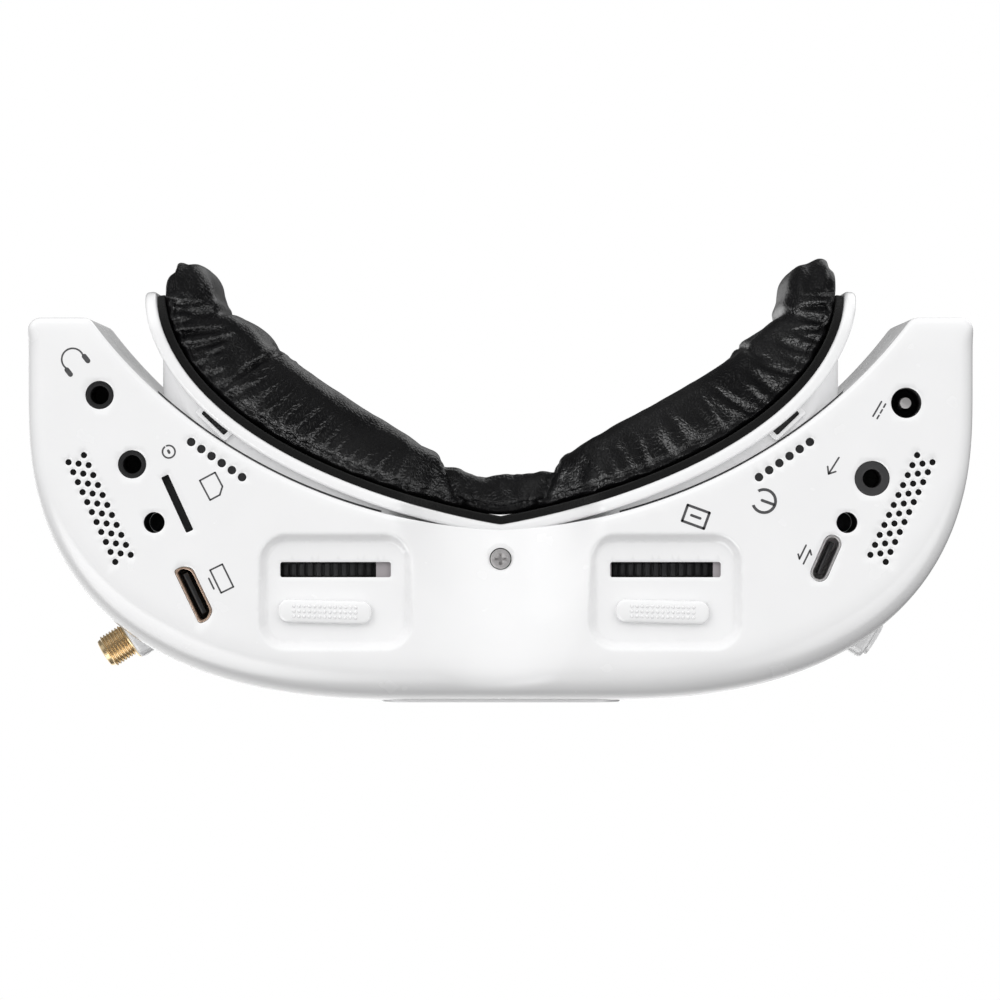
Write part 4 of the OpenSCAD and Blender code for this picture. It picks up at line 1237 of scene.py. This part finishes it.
def knob_dots(name, x, body):
    """The grid of small raised dots on a knob."""
    vertices, faces = [], []
    for column in range(-6, 7):
        for row in (-1, 0, 1):
            at = place(np.array([(column * DOT_PITCH, row * DOT_PITCH)]), (x, KNOB_Y), KNOB_TILT)[0]
            first, n = len(vertices), 10
            for r, z in DOT_STEPS:
                vertices += [(at[0] + r * px, at[1] + r * py, z) for px, py in circle(1, n)]
            faces += band(first, first + n, n) + band(first + n, first + 2 * n, n)
            faces += [tuple(range(first + 2 * n, first + 3 * n)), tuple(range(first + n - 1, first - 1, -1))]
    make_object(name, vertices, faces, WHITE, body)


def build_slider(node, body):
    """A thumb slider: its dotted knob, and the shutter behind the slot with a window for the wheel."""
    x = centre_mm(node)[0]
    stadium = densify(rounded_rect(*KNOB_SIZE, 1.9, 10), 0.6)
    knob = prism(node + "_knob", stadium, KNOB_OUT, POCKET_DEPTH + 0.35, WHITE, 0.65,
                 (x, KNOB_Y), KNOB_TILT, body)
    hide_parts(node)
    knob_dots(node + "_dots", x, body)
    top = box_mm(node)[1][2]
    outer = densify(rounded_rect(*SHUTTER_SIZE, 0.8, 3), 1.0)
    centre = (x, KNOB_Y - 3.2 + SHUTTER_SIZE[1] / 2)
    hole = outer * np.divide(SLOT_WINDOW, SHUTTER_SIZE) + (0, SLOT_AT[1] - centre[1])
    prism(node + "_shutter", outer, top - SHUTTER_T, top, MATERIALS["shutter_grey"], 0.08, centre,
          body=body, hole=hole)


VIDEO_SHELL_T = 0.36


def build_video_ring():
    """The rose-gold shell of the flat video socket."""
    outer = densify(video_loop(0), 0.5)
    ring = prism("video_shell", outer, 0.12, 9.0, MATERIALS["rose_gold"], 0.1, VIDEO_AT, VIDEO_TURN,
                 hole=outer * (1 - VIDEO_SHELL_T / VIDEO_HALF[0], 1 - VIDEO_SHELL_T / VIDEO_HALF[1]))
    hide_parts("video_port")
    # a dark plate deep in the socket: painted shade inside it
    prism("video_socket_shade", outer * 0.97, 5.5, 6.0, PAINTED_SHADE, 0.05, VIDEO_AT, VIDEO_TURN)


GAP_SHADOW_REACH, GAP_SHADOW_W = (0.24, 0.79), 0.36        # where along the back's curve the painted gap shadow runs


def build_back_gap_shadow():
    """A painted shadow: a thin grey strip in the gap where the face skirt comes out of the casing."""
    for name, side in (("left_back_seam", 1), ("right_back_seam", -1)):
        line = bezier(*BACK, np.linspace(*GAP_SHADOW_REACH, 60)) * (side, 1)
        vertices = [(x, y + off, SKIRT_LOW - 0.04) for off in (0.02, GAP_SHADOW_W) for x, y in line]
        vertices += [(x, y, SKIRT_LOW + 0.2) for x, y, _ in vertices]
        n = len(line)
        faces = []
        for i in range(n - 1):
            faces += [(i, i + 1, n + i + 1, n + i), (2 * n + i + 1, 2 * n + i, 3 * n + i, 3 * n + i + 1),
                      (i, 2 * n + i, 2 * n + i + 1, i + 1), (n + i + 1, 3 * n + i + 1, 3 * n + i, n + i)]
        faces += [(0, n, 3 * n, 2 * n), (n - 1, 3 * n - 1, 4 * n - 1, 2 * n - 1)]
        make_object(name, vertices, faces, MATERIALS["grey_plastic"], smooth_shade=False)


def build_card_slot_shade():
    """Painted shade: a dark plate inside the card slot, in front of the bright card socket."""
    loop = densify(rounded_rect(CARD_SIZE[0] + 0.3, CARD_SIZE[1] + 0.4, 0.3, 3), 0.8)
    prism("card_slot_shade", loop, WALL - 0.15, WALL + 0.05, PAINTED_SHADE, 0.05, CARD_AT, CARD_TURN)


def build_hole_shades():
    """Painted shade: a dark plate behind each row of vents and a sheet of the black felt behind each block of
    sound holes.
    """
    last = SOUND_ROW * (SOUND_ROWS - 1)
    far = SOUND_COLUMN * (SOUND_COLUMNS - 1)
    block = SOUND_AT + np.array([(3, 2), last + (3, -2.5), last + far + (-2, -2.5), far + (-2, 2)])[::-1]
    row = densify(rounded_rect(14.5, 3.0, 1.4, 4), 1.0)
    for side, name in ((1, "left"), (-1, "right")):
        middle = (VENT_AT + VENT_STEP * (VENT_COUNT - 1) / 2) * (side, 1)
        turn = math.degrees(math.atan2(VENT_STEP[1], VENT_STEP[0] * side))
        prism(name + "_vent_shade", row, 0.45, 0.7, PAINTED_SHADE, 0.05, middle, turn)
        loop = densify((block * (side, 1))[::side], 1.5)
        # a sheet of the black felt behind the sound holes: painted shade
        prism(name + "_sound_hole_shade", loop, 0.4, 0.65, MATERIALS["hook_strip"], 0.05)


def bar(a, b, width):
    """A short printed line with round ends, as a loop."""
    a, b = np.array(a, float), np.array(b, float)
    length = np.linalg.norm(b - a)
    turn = math.degrees(math.atan2(*(b - a)[::-1]))
    return place(rounded_rect(length + width, width, width / 2, 4), (a + b) / 2, turn)


def arc_strip(r, width, start, end, steps=24):
    """A printed arc, as a loop."""
    a = np.radians(np.linspace(start, end, steps))
    ring = np.stack([np.cos(a), np.sin(a)], 1)
    return np.concatenate([ring * (r + width / 2), ring[::-1] * (r - width / 2)])


def line(points, width):
    """Printed lines through points, one after the other."""
    return [bar(a, b, width) for a, b in zip(points, points[1:])]


INK_W, MARK_W = 0.32, 0.55
ICONS = {       # place, turn and printed strokes of each symbol
    "headphone_icon": ((81.5, 23.6), -38, [
        arc_strip(2.1, INK_W, -20, 200), bar((2.1, -0.9), (2.1, -2.0), 0.95),
        bar((-2.1, -0.9), (-2.1, -2.0), 0.95)]),
    "card_icon": ((54.9, -0.6), 152, line(
        [(-1.6, -2.1), (-1.6, 2.1), (0.5, 2.1), (1.7, 0.9), (1.7, -2.1), (-1.6, -2.1)], INK_W)),
    "video_icon": ((53.2, -18.2), 64, line(
        [(-2.4, -1.2), (2.4, -1.2), (2.4, 1.4), (-2.4, 1.4), (-2.4, -1.2)], INK_W) + [
            bar((-1.1, -2.1), (1.1, -2.1), INK_W)]),
    "camera_icon": ((63.2, 6.0), 64, [arc_strip(1.2, INK_W, 0, 350), bar((-0.2, 0), (0.2, 0), 0.5)]),
    "power_icon": ((-72.2, 13.9), -60, [
        bar((-1.6, 0.5), (1.6, 0.5), INK_W), bar((-1.6, -0.4), (-0.9, -0.4), INK_W),
        bar((-0.35, -0.4), (0.35, -0.4), INK_W), bar((0.9, -0.4), (1.6, -0.4), INK_W)]),
    "tracker_icon": ((-63.4, 3.2), -58, [
        bar((-2, 0), (1.7, 0), INK_W)] + line([(0.6, 0.9), (1.7, 0), (0.6, -0.9)], INK_W)),
    "ring_mark": ((-50.2, -3.4), 20, [arc_strip(2.2, MARK_W, 40, 320), bar((-1.9, 0), (0.4, 0), MARK_W)]),
    "square_mark": ((-37.2, -6.4), 20, line(
        [(-2.2, -1.6), (2.2, -1.6), (2.2, 1.6), (-2.2, 1.6), (-2.2, -1.6)], 0.5) + [
            bar((-0.9, 0), (0.9, 0), 0.5)]),
    "data_icon": ((-58.0, -13.6), -64, line([(-1.7, 0.6), (1.2, 0.6), (0.5, 1.2)], INK_W) + line(
        [(1.7, -0.5), (-1.2, -0.5), (-0.5, -1.1)], INK_W)),
}


def build_icons():
    """Generic printed symbols by the sockets."""
    for name, (at, turn, loops) in ICONS.items():
        vertices, faces = [], []
        for loop in loops:
            loop = place(loop, at, turn)
            z = float(underside_z(loop.mean(0)[None])[0])
            n = len(loop)
            first = len(vertices)
            vertices += [(x, y, z + off) for off in (-0.03, 0.05) for x, y in loop]
            faces += band(first, first + n, n)
            if n > 40:
                half = n // 2
                for i in range(half - 1):
                    a, b, c, d = first + i, first + i + 1, first + n - 2 - i, first + n - 1 - i
                    faces += [(a, b, c, d), (a + n, d + n, c + n, b + n)]
            else:
                faces += [tuple(range(first, first + n)), tuple(range(first + 2 * n - 1, first + n - 1, -1))]
        make_object(name, vertices, faces, INK, smooth_shade=False)


build_antenna_connector()
build_bosses()
build_wells()
build_card_slot_shade()
build_video_ring()
build_back_gap_shadow()
build_slider("left_eye_slider", "left_eye")
build_slider("right_eye_slider", "right_eye")
build_hole_shades()
build_icons()


# ---------------------------------------------------------------- carried-over CAD parts

BEVELS = {"front_cover": 0.45, "camera_window": 0.3, "left_focus_wheel": 0.12, "right_focus_wheel": 0.12,
          "power_button": 0.4, "record_button": 0.4, "mode_button": 0.4, "menu_button": 0.4,
          "antenna_blank": 0.3}
NO_BEVEL = {"left_eyepiece_lens", "right_eyepiece_lens", "left_speaker", "right_speaker"}


def dress(node, slot_name):
    """Gives a CAD part its material and rounded edges, as modifiers on top of its own mesh."""
    obj = frame["nodes"][node]
    obj.data.materials.clear()
    obj.data.materials.append(MATERIALS[slot_name])
    weld = obj.modifiers.new("weld", "WELD")
    weld.merge_threshold = 0.004 * MM
    if node not in NO_BEVEL:
        edge = obj.modifiers.new("edges", "BEVEL")
        edge.width = BEVELS.get(node, 0.1) * MM
        edge.segments = 2
        edge.limit_method = "ANGLE"
        edge.angle_limit = math.radians(38)
        edge.use_clamp_overlap = True
        edge.harden_normals = True
    obj.data.polygons.foreach_set("use_smooth", [True] * len(obj.data.polygons))


for subpart in frame["record"]["subparts"]:
    if not frame["nodes"][subpart["node"]].hide_render:
        dress(subpart["node"], subpart["material_slot"])


# ---------------------------------------------------------------- the studio

CAMERA_AWAY = 900.0
FIELD = 190.5           # the width of the picture at the object's underside
CAMERA_AT = (0.1, -3.2)


def build_camera():
    data = bpy.data.cameras.new("camera")
    data.sensor_width = 36
    data.lens = data.sensor_width * CAMERA_AWAY / FIELD
    data.clip_end = 10
    camera = bpy.data.objects.new("camera", data)
    camera.location = Vector((*CAMERA_AT, -CAMERA_AWAY)) * MM
    camera.rotation_euler = (0, math.pi, 0)
    bpy.context.scene.collection.objects.link(camera)
    bpy.context.scene.camera = camera


def area_light(name, at, size, power):
    """A square light, aimed at the middle of the casing."""
    data = bpy.data.lights.new(name, "AREA")
    data.size = size * MM
    data.energy = power
    light = bpy.data.objects.new(name, data)
    light.location = Vector(at) * MM
    light.rotation_euler = (Vector((0, 0, 20)) - Vector(at)).to_track_quat("-Z", "Y").to_euler()
    light.visible_glossy = False        # reflections see the world's soft boxes
    bpy.context.scene.collection.objects.link(light)


SOFTBOXES = (       # direction, the cosines where it starts and is full, and its strength in reflections
    ((0.52, -0.72, -0.45), (0.82, 0.95), 3.6),
    ((-0.6, -0.6, -0.5), (0.86, 0.97), 2.0),
    ((0.7, 0.5, -0.5), (0.88, 0.99), 0.5),
    ((0.3, -0.5, 0.8), (0.70, 0.95), 1.6),
    ((-0.5, 0.6, 0.6), (0.80, 0.97), 1.2),
)
MIRRORED_LIGHT = 0.045      # what reflections see between the boxes
BRIGHT_WAY = (0.12, 0.7, -0.7)      # the sky is brightest this way
SKY_LIMITS = (-0.35, 0.9)
SKY = (0.2, 1.3)        # its strength at its dimmest and at its brightest


def build_world():
    """White for the camera, a soft gradient for the light, and softboxes for reflections."""
    world = bpy.data.worlds.new("studio")
    world.use_nodes = True
    bpy.context.scene.world = world
    tree = world.node_tree
    nodes, links = tree.nodes, tree.links
    output = next(n for n in nodes if n.type == "OUTPUT_WORLD")
    direction = nodes.new("ShaderNodeTexCoord").outputs["Generated"]

    def background(strength):
        node = nodes.new("ShaderNodeBackground")
        node.inputs["Color"].default_value = (1, 1, 1, 1)
        if isinstance(strength, bpy.types.NodeSocket):
            links.new(strength, node.inputs["Strength"])
        else:
            node.inputs["Strength"].default_value = strength
        return node.outputs[0]

    def ramp(value, limits, low, high, smooth_ends=False):
        node = nodes.new("ShaderNodeMapRange")
        if smooth_ends:
            node.interpolation_type = "SMOOTHSTEP"
        links.new(value, node.inputs["Value"])
        for key, number in zip(("From Min", "From Max", "To Min", "To Max"), (*limits, low, high)):
            node.inputs[key].default_value = number
        return node.outputs[0]

    def mixed(fac, a, b):
        node = nodes.new("ShaderNodeMixShader")
        links.new(fac, node.inputs[0])
        links.new(a, node.inputs[1])
        links.new(b, node.inputs[2])
        return node.outputs[0]

    def towards(way):
        dot = nodes.new("ShaderNodeVectorMath")
        dot.operation = "DOT_PRODUCT"
        links.new(direction, dot.inputs[0])
        dot.inputs[1].default_value = Vector(way).normalized()
        return dot.outputs["Value"]
    soft = background(ramp(towards(BRIGHT_WAY), SKY_LIMITS, *SKY))
    total = None
    for way, limits, strength in SOFTBOXES:
        box = ramp(towards(way), limits, 0.0, strength, True)
        add = nodes.new("ShaderNodeMath")
        links.new(box, add.inputs[0])
        if total is None:
            add.inputs[1].default_value = MIRRORED_LIGHT
        else:
            links.new(total, add.inputs[1])
        total = add.outputs[0]
    path = nodes.new("ShaderNodeLightPath")
    lit = mixed(path.outputs["Is Glossy Ray"], soft, background(total))
    links.new(mixed(path.outputs["Is Camera Ray"], lit, background(1.0)), output.inputs["Surface"])


FLOOR_SIZE, FLOOR_Z = 2.5, -0.0002      # in metres; just below the casing's flat underside


def build_floor():
    mesh = bpy.data.meshes.new("floor")
    size, z = FLOOR_SIZE, FLOOR_Z
    corners = [(-size, -size, z), (size, -size, z), (size, size, z), (-size, size, z)]
    mesh.from_pydata(corners, [], [(0, 1, 2, 3)])
    floor = bpy.data.objects.new("floor", mesh)
    mesh.materials.append(pale_floor())
    bpy.context.scene.collection.objects.link(floor)
    floor.visible_diffuse = floor.visible_glossy = floor.visible_shadow = floor.visible_transmission = False


build_camera()
build_world()
build_floor()
area_light("key", (420, 300, -620), 260, 0.7)
area_light("fill", (-450, 150, -560), 300, 0.35)
area_light("top", (250, -350, 600), 350, 1.6)
area_light("back", (-300, 500, 420), 300, 1.0)
bpy.context.scene.view_settings.view_transform = "Standard"
bpy.context.scene.view_settings.look = "None"
